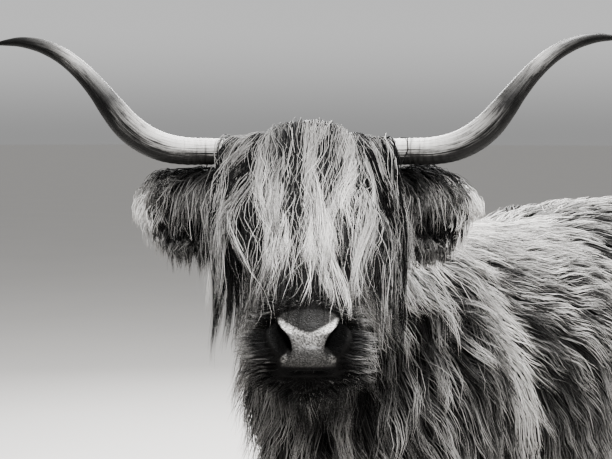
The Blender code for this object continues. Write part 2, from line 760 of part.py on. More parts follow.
def make_body():
    """Torso, neck and legs, parted from one seamless skin by thin flat cuts."""
    legs = [(FORELEG, FORELEG_CELL), (HIND_LEG, HIND_LEG_CELL)]
    flesh = [*torso_flesh(COAT["torso"]), *neck_flesh(COAT["neck"]), *head_flesh(COAT["head"])]
    for rows, cell in legs:
        for side in (1, -1):
            flesh.append(leg_flesh(rows, side, COAT["thigh"], COAT["shin"], cell["joint"]))
    skin = fused("skin", flesh, BODY_VOXEL, 6)

    torso = thinned(copy_of(skin, "torso"), TRIANGLES["torso"])
    before_neck = behind(NECK_CUT_AT, NECK_CUT_FACING, 0.025)

    def over_torso(spot):
        return before_neck(spot) and not near_leg(spot, 0.02)

    def on_torso(spot, out):
        clear_of_tail = spot.y < 1.02 or abs(spot.x) > 0.075
        return over_torso(spot) and clear_of_tail and spot.z > 0.45

    coat_over(torso, "torso", flank_lie, on_torso, over_torso, SEED)

    neck = thinned(copy_of(skin, "neck"), TRIANGLES["neck"])
    after_neck = behind(NECK_CUT_AT, -NECK_CUT_FACING, 0.020)
    after_head = behind(HEAD_CUT_AT, HEAD_CUT_FACING, 0.012)

    def on_neck(spot, out=None):
        return after_neck(spot) and after_head(spot)

    coat_over(neck, "neck", neck_lie, on_neck, on_neck, SEED)
    trunk_side = beyond(NECK_CUT_AT, -NECK_CUT_FACING, -GAP / 2)
    head_side = beyond(HEAD_CUT_AT, HEAD_CUT_FACING, -GAP / 2)
    nodes = [keep_largest(combine(neck, [trunk_side, head_side], "DIFFERENCE"))]

    cells = []
    for end, (_, cell) in zip(("fore", "hind"), legs):
        for word, side in (("left", 1), ("right", -1)):
            upper = thinned(copy_of(skin, f"{end}leg_upper_{word}"), TRIANGLES["upper"])
            x, y = cell["x"], cell["y"]

            def on_leg(spot, out=None):
                inside = x[0] < side * spot.x < x[1] and y[0] < spot.y < y[1]
                return inside and cell["joint"] + 0.012 < spot.z < cell["top"] - 0.02

            coat_over(upper, "upper", leg_lie, on_leg, on_leg, SEED + len(cells))
            lower = thinned(copy_of(skin, f"{end}leg_lower_{word}"), TRIANGLES["lower"])
            spans = ((upper, cell["joint"], cell["top"]), (lower, CORONET_HEIGHT, cell["joint"]))
            for piece, low, high in spans:
                block = leg_block(cell, side, low, high, -GAP / 2)
                nodes.append(keep_largest(combine(piece, [block], "INTERSECT")))
            cells.append(leg_block(cell, side, -1.0, cell["top"], GAP / 2))
    combine(torso, [beyond(NECK_CUT_AT, NECK_CUT_FACING, -GAP / 2), *cells], "DIFFERENCE")
    bpy.data.objects.remove(skin)
    return [torso, *nodes]


def forelock(head, chance):
    """Long locks from the poll: the middle ones down the face, the outer ones hanging free at its sides."""
    tree = BVHTree.FromObject(head, bpy.context.evaluated_depsgraph_get())
    down_face = HEAD_PLACE.to_3x3() @ Vector((0, -math.cos(FACE_SLOPE), -math.sin(FACE_SLOPE)))
    to_left = HEAD_PLACE.to_3x3() @ Vector((1, 0, 0))
    ahead = HEAD_PLACE.to_3x3() @ Vector((0, -1, 0))
    made = []
    for along, across, count, length, lift in FORELOCK_ROWS:
        for u in np.linspace(-1, 1, count).tolist():
            u += chance.uniform(-0.4, 0.4) / count
            loose = min(1.0, abs(u)) ** 1.6
            spread = math.copysign(1, u)

            def heading(spot, out, share):
                fan = spread * abs(u) * (0.75 - 1.10 * share)
                down = down_face * (1 - 0.80 * loose) + Vector((0, 0, -0.9 * loose))
                return down + to_left * fan + ahead * 0.15

            root = on_face(along + 0.03 * (1 - abs(u)), 0.02, across * u)
            long = length * chance.uniform(0.86, 1.12)
            path, outs = follow(tree, root, 0.006, heading, 4, long, lift, anywhere)
            outs = [(ahead + 0.4 * out).normalized() for out in outs]
            made += sound_lock(path, outs, 0.031 * chance.uniform(0.85, 1.15), 0.012)
    return made


def make_head(horns, ears, eyes):
    chance = random.Random(SEED)
    head = fused("head", [*head_flesh(COAT["head"]), *neck_flesh(0.012)], HEAD_VOXEL, 4)
    thinned(head, TRIANGLES["head"])
    groove = mouth_line(head)
    locks = forelock(head, chance)
    combine(head, [*lids(1), *lids(-1), *locks], "UNION")
    hollows = [grown(thing, GAP * 1.3) for thing in (*horns, *ears, *eyes)]
    for side in (1, -1):
        place = on_face(0.394, 0.006, side * 0.043)
        hollows.append(ellipsoid("nostril", place, (0.014, 0.022, 0.014), HEAD_TURN, 12, 8))
    hollows.append(groove)
    hollows.append(beyond(HEAD_CUT_AT, -HEAD_CUT_FACING, -GAP / 2))
    return keep_largest(combine(head, hollows, "DIFFERENCE"))


def fringe(ear_core, side):
    """Hair of the ear: from the upper rim down across the cup, and hanging from the lower rim."""
    chance = random.Random(SEED + side)
    tree = BVHTree.FromObject(ear_core, bpy.context.evaluated_depsgraph_get())
    outwards = HEAD_PLACE.to_3x3() @ Vector((side, 0, 0))
    ahead = HEAD_PLACE.to_3x3() @ Vector((0, -1, 0))
    made = []
    for rise, length, lean in ((0.048, 0.105, 0.55), (-0.030, 0.085, 0.25)):
        for t in (0.53, 0.70, 0.86):
            up = -0.066 - 0.03 * t + rise * (1.25 - 0.75 * t)
            root = in_head(side * (0.086 + EAR_LENGTH * t), 0.0, up)

            def heading(spot, out, share):
                return Vector((0, 0, -1)) + outwards * lean * (1.2 - share) + ahead * 0.15

            long = length * chance.uniform(0.85, 1.15)
            path, outs = follow(tree, root, 0.001, heading, 3, long, -1.0, anywhere)
            made += sound_lock(path, [ahead] * len(outs), 0.020, 0.006)
    return keep_largest(combine(ear_core, made, "UNION"))


def hang_switch(core):
    """Long hair round the end of the tail."""
    chance = random.Random(SEED)
    tree = BVHTree.FromObject(core, bpy.context.evaluated_depsgraph_get())
    made = []
    for height, count, length in ((0.700, 4, 0.300), (0.570, 3, 0.310)):
        for turn in range(count):
            angle = 2 * math.pi * (turn + chance.uniform(-0.3, 0.3)) / count
            away = Vector((math.cos(angle), math.sin(angle), 0))
            root = Vector((0, 1.250, height)) + away * 0.05

            def heading(spot, out, share):
                return Vector((0, 0, -1)) + away * 0.10

            path, outs = follow(tree, root, 0.006, heading, 4, length, 0.012, anywhere)
            made += sound_lock(path, outs, 0.028, 0.010)
    return combine(core, made, "UNION")


TWELFTHS = [2 * math.pi * k / 12 for k in range(12)]
HEAD_CUT_FACING = HEAD_PLACE.to_3x3() @ Vector((0, -1, 0))
HEAD_CUT_AT = in_head(0.0, -HEAD_CUT_BACK, 0.0)

clear_scene()
cow = bpy.data.objects.new("cow", None)
bpy.context.scene.collection.objects.link(cow)
cow.location = WITHERS_FROM_MIDDLE

horns = [horn(1), horn(-1)]
ears = [ear(1), ear(-1)]
eyes = []
for word, side in (("left", 1), ("right", -1)):
    eyes.append(ellipsoid(f"eye_{word}", eye_middle(side), (EYE_RADIUS,) * 3, HEAD_TURN, 12, 8))
torso, *flesh = make_body()
head = make_head(horns, ears, eyes)

tail = tail_flesh(COAT["switch"])
combine(torso, [grown(tail, GAP * 1.3)], "DIFFERENCE")
keep_largest(torso)
switch = hang_switch(copy_of(tail, "tail_switch"))
at, down = Vector((0, 0, TAIL_CUT_HEIGHT)), Vector((0, 0, -1))
keep_largest(combine(tail, [beyond(at, down, -GAP / 2)], "DIFFERENCE"))
keep_largest(combine(switch, [beyond(at, -down, -GAP / 2)], "DIFFERENCE"))
fringed = [fringe(thing, side) for thing, side in zip(ears, (1, -1))]

claws = []
for end, y in FOOT_Y.items():
    for word, side in (("left", 1), ("right", -1)):
        for which, inward in (("outer", 1), ("inner", -1)):
            claws.append(claw(f"claw_{end}_{word}_{which}", side * (FOOT_X + inward * CLAW_FROM_MIDDLE), y))

for thing in (torso, *flesh, head, *fringed, tail, switch):
    dress(thing, "coat")
for thing in horns:
    dress(thing, "horn")
for thing in claws:
    dress(thing, "hoof")
for thing in eyes:
    dress(thing, "eye")
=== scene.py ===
"""A highland cow, life size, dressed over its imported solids: hide, long coat, horns, eyes and hooves.

Metres. Shapes are laid out from the point on the floor under the withers, the cow facing -Y with +X its
left, and are moved into the frame's own place as each mesh is made.
"""

import json
import math

import bpy
import numpy as np
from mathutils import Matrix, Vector
from mathutils.bvhtree import BVHTree

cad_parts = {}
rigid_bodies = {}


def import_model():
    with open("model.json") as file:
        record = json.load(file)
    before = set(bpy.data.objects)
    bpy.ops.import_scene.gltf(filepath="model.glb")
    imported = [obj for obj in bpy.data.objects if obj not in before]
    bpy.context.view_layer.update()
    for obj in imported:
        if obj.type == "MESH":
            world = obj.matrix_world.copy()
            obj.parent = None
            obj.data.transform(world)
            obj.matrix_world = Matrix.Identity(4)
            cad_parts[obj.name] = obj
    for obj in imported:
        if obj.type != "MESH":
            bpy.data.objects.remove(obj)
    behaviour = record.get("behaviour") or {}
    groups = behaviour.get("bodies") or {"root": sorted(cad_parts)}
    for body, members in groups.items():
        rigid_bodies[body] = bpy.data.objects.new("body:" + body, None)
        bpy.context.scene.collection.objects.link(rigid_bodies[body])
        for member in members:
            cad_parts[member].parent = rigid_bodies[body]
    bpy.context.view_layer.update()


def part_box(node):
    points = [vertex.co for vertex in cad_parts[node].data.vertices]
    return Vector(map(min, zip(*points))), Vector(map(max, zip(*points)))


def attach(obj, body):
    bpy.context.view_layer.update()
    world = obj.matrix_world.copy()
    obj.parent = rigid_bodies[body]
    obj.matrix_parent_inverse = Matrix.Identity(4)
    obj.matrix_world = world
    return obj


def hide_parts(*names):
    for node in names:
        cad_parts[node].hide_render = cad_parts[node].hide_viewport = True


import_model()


# The hide: skin over flesh and bone, one closed form for the body and a finer one for the head.
# It is melted together from the sections of the trunk, neck, legs and face and the muscles that swell them.
# The head is turned to the cow's left, and everything on it is placed from the middle of the horns.

HEAD_AT = np.array([0.178, -0.522, 1.279])
HEAD_YAW = math.radians(38)
FACE_SLOPE = math.radians(50)
EYE_ALONG, EYE_RISE, EYE_OUT, EYE_RADIUS = 0.140, -0.010, 0.097, 0.019
SIDES = ((1, "left"), (-1, "right"))

LEFT = np.array([math.cos(HEAD_YAW), math.sin(HEAD_YAW), 0.0])
AHEAD = np.array([math.sin(HEAD_YAW), -math.cos(HEAD_YAW), 0.0])
UP = np.array([0.0, 0.0, 1.0])
DOWN_FACE = AHEAD * math.cos(FACE_SLOPE) - UP * math.sin(FACE_SLOPE)
OFF_FACE = AHEAD * math.sin(FACE_SLOPE) + UP * math.cos(FACE_SLOPE)
HEAD_WAYS = (LEFT, AHEAD, UP)
FACE_WAYS = (DOWN_FACE, OFF_FACE, LEFT)


def from_horns(fars, ways):
    """HEAD_AT + far * way for each of the ways, for numbers or whole arrays."""
    return sum((np.asarray(far, float)[..., None] * way for far, way in zip(fars, ways)), HEAD_AT)


def in_head(out, forward, up):
    return from_horns((out, forward, up), HEAD_WAYS)


def on_face(along, rise, out):
    return from_horns((along, rise, out), FACE_WAYS)


def head_places(points):
    """How far points lie out, forward and up from the middle of the horns."""
    return [(points - HEAD_AT) @ way for way in HEAD_WAYS]


def face_places(points):
    """How far points lie along the face, off it and out."""
    return [(points - HEAD_AT) @ way for way in FACE_WAYS]


eye_low, eye_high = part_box("eye_left")
MIDDLE = np.array((eye_low + eye_high) / 2) - on_face(EYE_ALONG, EYE_RISE, EYE_OUT)

BODY_GRAIN, FACE_GRAIN = 0.0105, 0.0033

# Along the back, from the brisket to the pin bones: y, top line, under line, half width.
TORSO = np.array([
    (-0.3, 0.96, 0.7, 0.115),
    (-0.22, 1.06, 0.6, 0.195),
    (-0.1, 1.105, 0.54, 0.24),
    (0.05, 1.115, 0.515, 0.25),
    (0.25, 1.1, 0.505, 0.275),
    (0.45, 1.098, 0.5, 0.3),
    (0.63, 1.115, 0.515, 0.3),
    (0.8, 1.132, 0.56, 0.278),
    (0.93, 1.138, 0.62, 0.258),
    (1.04, 1.125, 0.69, 0.222),
    (1.12, 1.08, 0.78, 0.16),
])

# The muscles that swell it: the middle of each, and its half width, length and height.
SHOULDER = ((0.165, -0.06, 0.83), (0.095, 0.155, 0.24))
THIGH = ((0.15, 0.97, 0.84), (0.115, 0.175, 0.22))
HIP = ((0.185, 0.86, 1.075), (0.055, 0.085, 0.045))
BRISKET = ((0.0, -0.245, 0.665), (0.085, 0.115, 0.125))

# From the poll down to the dewlap: centre x, y, z, half width, half height.
NECK = np.array([
    (0.168, -0.514, 1.198, 0.08, 0.1),
    (0.122, -0.438, 1.148, 0.086, 0.124),
    (0.068, -0.338, 1.062, 0.104, 0.165),
    (0.022, -0.23, 0.97, 0.132, 0.21),
    (0.0, -0.115, 0.9, 0.16, 0.23),
])

# Down the face, from the poll to the lips: distance along it, top and bottom of the section, half width.
HEAD = np.array([
    (-0.045, 0.002, -0.055, 0.05),
    (-0.02, 0.022, -0.085, 0.08),
    (0.02, 0.03, -0.115, 0.098),
    (0.06, 0.029, -0.135, 0.104),
    (0.11, 0.026, -0.142, 0.107),
    (0.15, 0.022, -0.136, 0.102),
    (0.2, 0.018, -0.122, 0.086),
    (0.25, 0.017, -0.114, 0.071),
    (0.3, 0.018, -0.11, 0.063),
    (0.34, 0.02, -0.106, 0.064),
    (0.37, 0.018, -0.104, 0.068),
    (0.395, 0.008, -0.1, 0.068),
    (0.412, -0.006, -0.094, 0.061),
    (0.424, -0.024, -0.082, 0.044),
])

# What swells the face: along it, off it, out, and the half width, length and height. Brow, cheek, nostril,
# horn root and lip are on each side, and poll, nose and chin in the middle.
SIDE_SWELLINGS = [
    (0.134, -0.004, 0.078, 0.033, 0.04, 0.032),
    (0.1, -0.08, 0.068, 0.042, 0.075, 0.055),
    (0.384, -0.01, 0.044, 0.028, 0.032, 0.026),
    (-0.004, -0.004, 0.086, 0.03, 0.034, 0.03),
    (0.385, -0.048, 0.046, 0.026, 0.038, 0.028),
]
MIDDLE_SWELLINGS = [
    (-0.016, 0.008, 0.0, 0.072, 0.038, 0.034),
    (0.402, -0.02, 0.0, 0.048, 0.022, 0.026),
    (0.398, -0.086, 0.0, 0.044, 0.034, 0.022),
]

# Down each leg: y, x, z, half width, half length of the section.
FORELEG = np.array([
    (-0.03, 0.165, 0.78, 0.07, 0.12),
    (-0.02, 0.165, 0.6, 0.068, 0.092),
    (-0.025, 0.16, 0.45, 0.052, 0.062),
    (-0.035, 0.155, 0.34, 0.044, 0.048),
    (-0.03, 0.155, 0.3, 0.04, 0.044),
    (-0.025, 0.155, 0.2, 0.031, 0.035),
    (-0.03, 0.155, 0.12, 0.038, 0.042),
    (-0.05, 0.155, 0.066, 0.04, 0.046),
])
HIND_LEG = np.array([
    (0.96, 0.16, 0.88, 0.085, 0.16),
    (0.985, 0.17, 0.72, 0.082, 0.145),
    (1.02, 0.168, 0.58, 0.062, 0.098),
    (1.085, 0.16, 0.47, 0.044, 0.064),
    (1.12, 0.155, 0.4, 0.038, 0.054),
    (1.11, 0.155, 0.34, 0.035, 0.046),
    (1.085, 0.155, 0.22, 0.031, 0.037),
    (1.062, 0.155, 0.12, 0.038, 0.042),
    (1.038, 0.155, 0.066, 0.04, 0.046),
])

# Down the middle of the tail: y, z, radius.
TAIL = np.array([
    (1.09, 1.075, 0.034),
    (1.16, 1.1, 0.031),
    (1.222, 1.06, 0.026),
    (1.248, 0.97, 0.021),
    (1.254, 0.86, 0.018),
    (1.252, 0.74, 0.016),
    (1.248, 0.62, 0.014),
    (1.244, 0.52, 0.01),
])

# From the root of the ear, EAR_OUT from the middle, to its tip: share of its length, half width, depth of the
# cup, thickness.
EAR_OUT, EAR_LENGTH = 0.086, 0.2
EAR = np.array([
    (0.0, 0.02, 0.01, 0.03),
    (0.15, 0.026, 0.014, 0.026),
    (0.3, 0.042, 0.026, 0.013),
    (0.5, 0.054, 0.032, 0.008),
    (0.7, 0.05, 0.028, 0.007),
    (0.88, 0.03, 0.015, 0.006),
    (1.0, 0.006, 0.003, 0.004),
])


def smooth_rows(rows, count):
    """A Catmull-Rom curve through the rows: b + t(c-a)/2 + t^2(2a-5b+4c-d)/2 + t^3(3b-a-3c+d)/2."""
    ends = np.vstack([2 * rows[0] - rows[1], rows, 2 * rows[-1] - rows[-2]])
    places = np.linspace(0, len(rows) - 1, count)
    first = np.minimum(places.astype(int), len(rows) - 2)
    t = (places - first)[:, None]
    a, b, c, d = (ends[first + k] for k in range(4))
    bend, twist = 2 * a - 5 * b + 4 * c - d, 3 * b - a - 3 * c + d
    return 0.5 * (2 * b + (c - a) * t + bend * t**2 + twist * t**3)


def turns(sides):
    """Equal steps round a circle."""
    return np.arange(sides) * 2 * math.pi / sides


def round_section(sides, squareness):
    """Across and up round a superellipse: sign(cos) |cos|^(2/n) and sign(sin) |sin|^(2/n)."""
    turn = turns(sides)
    power = 2 / squareness
    return [np.sign(wave) * abs(wave) ** power for wave in (np.cos(turn), np.sin(turn))]


def unit(vectors):
    return vectors / np.maximum(np.linalg.norm(vectors, axis=-1, keepdims=True), 1e-9)


def dot(a, b):
    return np.sum(a * b, axis=-1)


def ramp(value, low, high):
    """From 0 at low to 1 at high along t^2 (3 - 2t)."""
    t = np.clip((value - low) / (high - low), 0.0, 1.0)
    return t * t * (3 - 2 * t)


def rings_closed(grid):
    """Closes a grid of rings (rows, sides, 3), with quads round it and a fan of triangles at each end.

    The faces are turned about if the volume they enclose, the sum of a . (b x c) over them, is negative."""
    rows, sides = grid.shape[:2]
    points = np.concatenate([grid.reshape(-1, 3), grid[:1].mean(1), grid[-1:].mean(1)])
    here = np.arange(rows * sides).reshape(rows, sides)
    beside = np.roll(here, -1, axis=1)
    quads = np.stack([here[:-1], beside[:-1], beside[1:], here[1:]], -1).reshape(-1, 4)
    start, end = np.full(sides, rows * sides), np.full(sides, rows * sides + 1)
    caps = [(start, beside[0], here[0]), (end, here[-1], beside[-1])]
    fans = np.concatenate([np.stack(cap, -1) for cap in caps])
    a, b, c, d = (points[quads[:, k]] - points.mean(0) for k in range(4))
    if dot(a, np.cross(b, c)).sum() + dot(a, np.cross(c, d)).sum() < 0:
        quads, fans = quads[:, ::-1], fans[:, ::-1]
    return points, [quads, fans]


def joined(shapes):
    """Several shapes as one array of points and one list of face arrays."""
    starts = np.cumsum([0] + [len(points) for points, _ in shapes])
    faces = [face + start for (_, sets), start in zip(shapes, starts) for face in sets]
    return np.concatenate([points for points, _ in shapes]), faces


def mesh_of(name, points, face_sets):
    """A smooth-shaded mesh from an array of points and arrays of faces, moved into the frame's place."""
    mesh = bpy.data.meshes.new(name)
    corners = np.concatenate([faces.ravel() for faces in face_sets])
    counts = np.concatenate([np.full(len(faces), faces.shape[1]) for faces in face_sets])
    mesh.vertices.add(len(points))
    mesh.vertices.foreach_set("co", (points + MIDDLE).astype(np.float32).ravel())
    mesh.loops.add(len(corners))
    mesh.loops.foreach_set("vertex_index", corners.astype(np.int32))
    mesh.polygons.add(len(counts))
    mesh.polygons.foreach_set("loop_start", (np.cumsum(counts) - counts).astype(np.int32))
    mesh.polygons.foreach_set("use_smooth", np.ones(len(counts), bool))
    mesh.update(calc_edges=True)
    return mesh


def note(mesh, name, values):
    """Keeps a number or a vector for every point of a mesh, which its material reads by that name."""
    kind, field = ("FLOAT", "value") if values.ndim == 1 else ("FLOAT_VECTOR", "vector")
    mesh.attributes.new(name, kind, "POINT").data.foreach_set(field, values.astype(np.float32).ravel())


def stand(name, data):
    """A new object in the scene, unturned and unscaled at the origin."""
    thing = bpy.data.objects.new(name, data)
    bpy.context.scene.collection.objects.link(thing)
    return thing


def piece_of(name, mesh, paint, replaced=()):
    """A finished piece of the cow, standing still on its one body."""
    piece = stand(name, mesh)
    mesh.materials.append(paint)
    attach(piece, "root")
    if replaced:
        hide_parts(*replaced)
    return piece


def ball(rings, sides):
    """A unit ball without its poles, (sin p cos t, sin p sin t, cos p), and p for each of its points."""
    p, t = np.meshgrid(np.linspace(0, math.pi, rings)[1:-1], turns(sides), indexing="ij")
    return np.stack([np.sin(p) * np.cos(t), np.sin(p) * np.sin(t), np.cos(p)], -1), p


def ellipsoid(middle, radii, axes=np.eye(3)):
    """middle + radii * ball, turned onto three axes."""
    return rings_closed(middle + ball(18, 28)[0] * radii @ np.asarray(axes))


def trunk():
    """Superellipse sections along y, with a small one beyond each end, and the muscles under the skin."""
    across, up = round_section(48, 2.3)
    y, top, bottom, half = (column[:, None] for column in smooth_rows(TORSO, 40).T)
    rings = np.stack([half * across, y + 0 * across, (top + bottom) / 2 + (top - bottom) / 2 * up], -1)
    middles = rings[[0, -1]].mean(1, keepdims=True)
    ends = middles + (rings[[0, -1]] - middles) * np.array([0.45, 0.5])[:, None, None]
    ends[:, :, 1] += np.array([[-0.045], [0.045]])
    shapes = [rings_closed(np.concatenate([ends[:1], rings, ends[1:]]))]
    for side in (1, -1):
        for middle, radii in (SHOULDER, THIGH, HIP):
            shapes.append(ellipsoid(np.multiply((side, 1, 1), middle), radii))
    return [*shapes, ellipsoid(*BRISKET)]


def neck():
    """Superellipse sections square to the line of the neck."""
    rows = smooth_rows(NECK, 24)
    along = unit(np.gradient(rows[:, :3], axis=0))
    level = unit(np.stack([-along[:, 1], along[:, 0], 0 * along[:, 0]], -1))
    rise = np.cross(level, along)
    across, up = round_section(40, 2.1)
    rings = rows[:, None, :3] + (rows[:, 3:4] * across)[..., None] * level[:, None]
    return rings_closed(rings + (rows[:, 4:5] * up)[..., None] * rise[:, None])


def leg(rows, side):
    """Level superellipse sections down a leg."""
    y, x, z, half, long = (column[:, None] for column in smooth_rows(rows, 40).T)
    across, ahead = round_section(28, 2.1)
    return rings_closed(np.stack([side * x + half * across, y + long * ahead, z + 0 * across], -1))


def face():
    """Superellipse sections across the slope of the face, and what swells it."""
    across, up = round_section(64, 2.35)
    along, top, bottom, half = (column[:, None] for column in smooth_rows(HEAD, 90).T)
    middle, reach = (top + bottom) / 2, (top - bottom) / 2
    shapes = [rings_closed(on_face(along + 0 * up, middle + reach * up, half * across))]
    rows = [(side, *row) for side in (1, -1) for row in SIDE_SWELLINGS]
    for side, along, rise, out, *radii in rows + [(1, *row) for row in MIDDLE_SWELLINGS]:
        shapes.append(ellipsoid(on_face(along, rise, side * out), radii, (LEFT, DOWN_FACE, OFF_FACE)))
    return shapes


def melted(shapes, grain, passes):
    """One skin over overlapping shapes: remeshed at a grain, relaxed, and read back as arrays."""
    mesh = mesh_of("melt", *joined(shapes))
    thing = stand("melt", mesh)
    melt = thing.modifiers.new("melt", "REMESH")
    melt.mode = "VOXEL"
    melt.voxel_size = grain
    soften = thing.modifiers.new("soften", "SMOOTH")
    soften.factor = 0.5
    soften.iterations = passes
    made = bpy.data.meshes.new_from_object(thing.evaluated_get(bpy.context.evaluated_depsgraph_get()))
    points = np.empty(len(made.vertices) * 3, np.float32)
    quads = np.empty(len(made.loops), np.int32)
    made.vertices.foreach_get("co", points)
    made.loops.foreach_get("vertex_index", quads)
    bpy.data.objects.remove(thing)
    bpy.data.meshes.remove(mesh)
    bpy.data.meshes.remove(made)
    return points.reshape(-1, 3).astype(float) - MIDDLE, [quads.reshape(-1, 4)]


# Down a nostril, seen from the front: out, up from the horns, radius.
NOSTRIL = np.array([
    (0.055, -0.272, 0.004),
    (0.0525, -0.281, 0.0085),
    (0.0475, -0.291, 0.0125),
    (0.0415, -0.301, 0.013),
    (0.0365, -0.309, 0.009),
])
NOSTRIL_DEPTH, WING_SWELL = 0.024, 0.0035

# The line of the mouth is an arc round the front of the jaws.
MOUTH_TURN = np.linspace(-1.25, 1.25, 60)
MOUTH_BEND = np.cos(MOUTH_TURN)
MOUTH = on_face(0.310 + 0.118 * MOUTH_BEND, -0.062 + 0.026 * MOUTH_BEND, 0.076 * np.sin(MOUTH_TURN))
MOUTH_DEPTH = 0.006


def reach_of(points, spots, radii=0.0):
    """The least of |point - spot| - radius over a chain of spots."""
    return (np.linalg.norm(points[:, None] - spots, axis=-1) - radii).min(1)


def carved(points):
    """Sinks the nostrils and the line of the mouth into the melted face and swells the wings of the nose.

    Gives how much of each point is nostril, with painted shade on the wall round it, and mouth too, and how
    far it lies from the line of the mouth."""
    out, forward, up = head_places(points)
    front = ramp(forward, 0.19, 0.22)
    chain = smooth_rows(NOSTRIL, 24)
    rim = reach_of(np.stack([abs(out), up], -1), chain[:, :2], chain[:, 2])
    nostril = ramp(-rim, -0.0015, 0.0045) * front
    wing = np.exp(-((rim - 0.004) / 0.004) ** 2) * front * ramp(abs(out), 0.042, 0.056)
    mouth_away = reach_of(points, MOUTH)
    mouth = np.exp(-((mouth_away / 0.0042) ** 2))
    inward = np.stack([-0.35 * np.sign(out), -np.ones(len(out)), 0.25 + 0 * out], -1)
    points = points + (unit(inward) @ np.stack(HEAD_WAYS)) * (NOSTRIL_DEPTH * nostril)[:, None]
    points = points + OFF_FACE * (WING_SWELL * wing)[:, None]
    points = points + unit(on_face(0.34, -0.05, 0.0) - points) * (MOUTH_DEPTH * mouth)[:, None]
    # The nostril mask reaches 6 mm past the rim as painted shade on the shadowed wall beside each nostril.
    return points, np.maximum(nostril, 0.9 * ramp(-rim, -0.006, 0.0) * front), mouth, mouth_away


def ear_line(share):
    """How far the middle line of the ear lies below the horns."""
    return 0.066 + 0.020 * share + 0.024 * share**2


def ear(side):
    """A leaf on a stalk: an inner and an outer layer, cup * (1 - turn^2) deep, from rim to rim."""
    share, half, cup, thick = (column[:, None] for column in smooth_rows(EAR, 40).T)
    turn = np.concatenate([np.linspace(-1, 1, 20), np.linspace(1, -1, 20)])
    outer = np.repeat([0.0, 1.0], 20)
    edge = 1 - turn**2
    up = half * turn
    forward = -cup * edge + outer * thick * (0.35 + 0.65 * edge)
    forward = forward - 0.30 * up + 0.006 - 0.030 * share
    out = side * (EAR_OUT + EAR_LENGTH * share) + 0 * turn
    return rings_closed(in_head(out, forward, -ear_line(share) + up))


def circles(path, beside, sides):
    """Unit circles square to a path, across cos t + up sin t, where across is the nearest way to beside."""
    along = unit(np.gradient(path, axis=0))
    across = unit(beside - along * dot(along, beside)[..., None])
    up = np.cross(across, along)
    turn = turns(sides)[:, None]
    return across[:, None] * np.cos(turn) + up[:, None] * np.sin(turn)


def tube(path, radii, beside, sides=12):
    """Round sections square to a path: path + radius * circle."""
    return rings_closed(path[:, None] + circles(path, beside, sides) * radii[:, None, None])


def eye_axes(side):
    """From corner to corner of the eye, up across it, and out of it."""
    outward = unit(side * 0.95 * LEFT + 0.28 * AHEAD + 0.10 * UP)
    along = unit(DOWN_FACE - outward * (DOWN_FACE @ outward))
    rise = np.cross(along, outward)
    return along, rise * np.sign(rise[2]), outward


# Each lid: which way it arcs, how high and how thick.
UPPER_LID, LOWER_LID = (1, 0.0115, 0.005), (-1, 0.0095, 0.0042)


def lid(side, way, height, thick):
    """An arc over the eyeball: r cos t along it, height sin t up it, and out by sqrt(r^2 - reach^2)."""
    along, rise, outward = eye_axes(side)
    t = np.linspace(0, math.pi, 24)
    reach = EYE_RADIUS * np.cos(t)[:, None] * along + way * height * np.sin(t)[:, None] * rise
    lift = np.sqrt(np.maximum(EYE_RADIUS**2 - dot(reach, reach), 1.2e-5)) + 0.0006
    path = on_face(EYE_ALONG, EYE_RISE, side * EYE_OUT) + reach + lift[:, None] * outward
    return tube(path, thick * (0.45 + 0.55 * np.sin(t)), outward)


legs = [leg(rows, side) for rows in (FORELEG, HIND_LEG) for side in (1, -1)]
body_shape = melted([*trunk(), neck(), *legs], BODY_GRAIN, 5)
face_points, face_quads = melted(face(), FACE_GRAIN, 4)
face_points, nostril_and_wall_shade, mouth_mask, mouth_away = carved(face_points)
tail_y, tail_z, tail_radii = smooth_rows(TAIL, 40).T
tail = tube(np.stack([0 * tail_y, tail_y, tail_z], -1), tail_radii, np.array([1.0, 0.0, 0.0]), 20)
shapes = [body_shape, (face_points, face_quads), ear(1), ear(-1), tail]
BODY, FACE, EAR_LEFT, EAR_RIGHT, TAIL_PART = range(len(shapes))
shapes += [lid(side, *size) for side in (1, -1) for size in (UPPER_LID, LOWER_LID)]
hide_points, hide_faces = joined(shapes)
part_of_point = np.repeat(np.arange(len(shapes)), [len(points) for points, _ in shapes])

# The pad of the nose, measured up from the horns: where its dome starts, and where it fades out over the lip.
PAD_TOP, PAD_FOOT, PAD_FOOT_DONE = -0.262, -0.340, -0.335


def nose_marks(points):
    """The bare pad of the nose, and how bright it is: a flat V, two corners below it, and between them less.

    The pad is as wide as a dome above PAD_TOP, narrows in below it, and widens again to the upper lip."""
    out, forward, up = head_places(points)
    across = abs(out)
    top_half = 0.046 * np.sqrt(np.clip(1 - ((up - PAD_TOP) / 0.014) ** 2, 0, 1))
    middle_half = 0.048 - 0.62 * np.maximum(-0.268 - up, 0)
    low_half = np.minimum(0.0262 + 0.90 * (-0.303 - up), 0.044)
    half = np.where(up > PAD_TOP, top_half, np.maximum(middle_half, low_half))
    pad = ramp(forward, 0.200, 0.215) * ramp(half - across, -0.003, 0.003) * ramp(up, PAD_FOOT, PAD_FOOT_DONE)
    band_up = -0.2860 + 0.44 * np.maximum(np.hypot(across, 0.010) - 0.012, 0)
    band = ramp(0.0036 + 0.075 * across - abs(up - band_up), -0.002, 0.002)
    band = (0.55 + 0.45 * ramp(across, 0.008, 0.030)) * band
    corner = 0.45 * np.exp(-(((np.hypot(across - 0.040, up + 0.324) - 0.0045) / 0.0022) ** 2))
    below = 0.09 + 0.34 * ramp(up, -0.312, -0.292) * ramp(-across, -0.034, -0.008)
    above = 0.02 + 2.6 * np.maximum(across - 0.018, 0)
    bright = np.maximum(np.maximum(band, corner), np.where(up < band_up, below, above))
    return pad, bright * pad


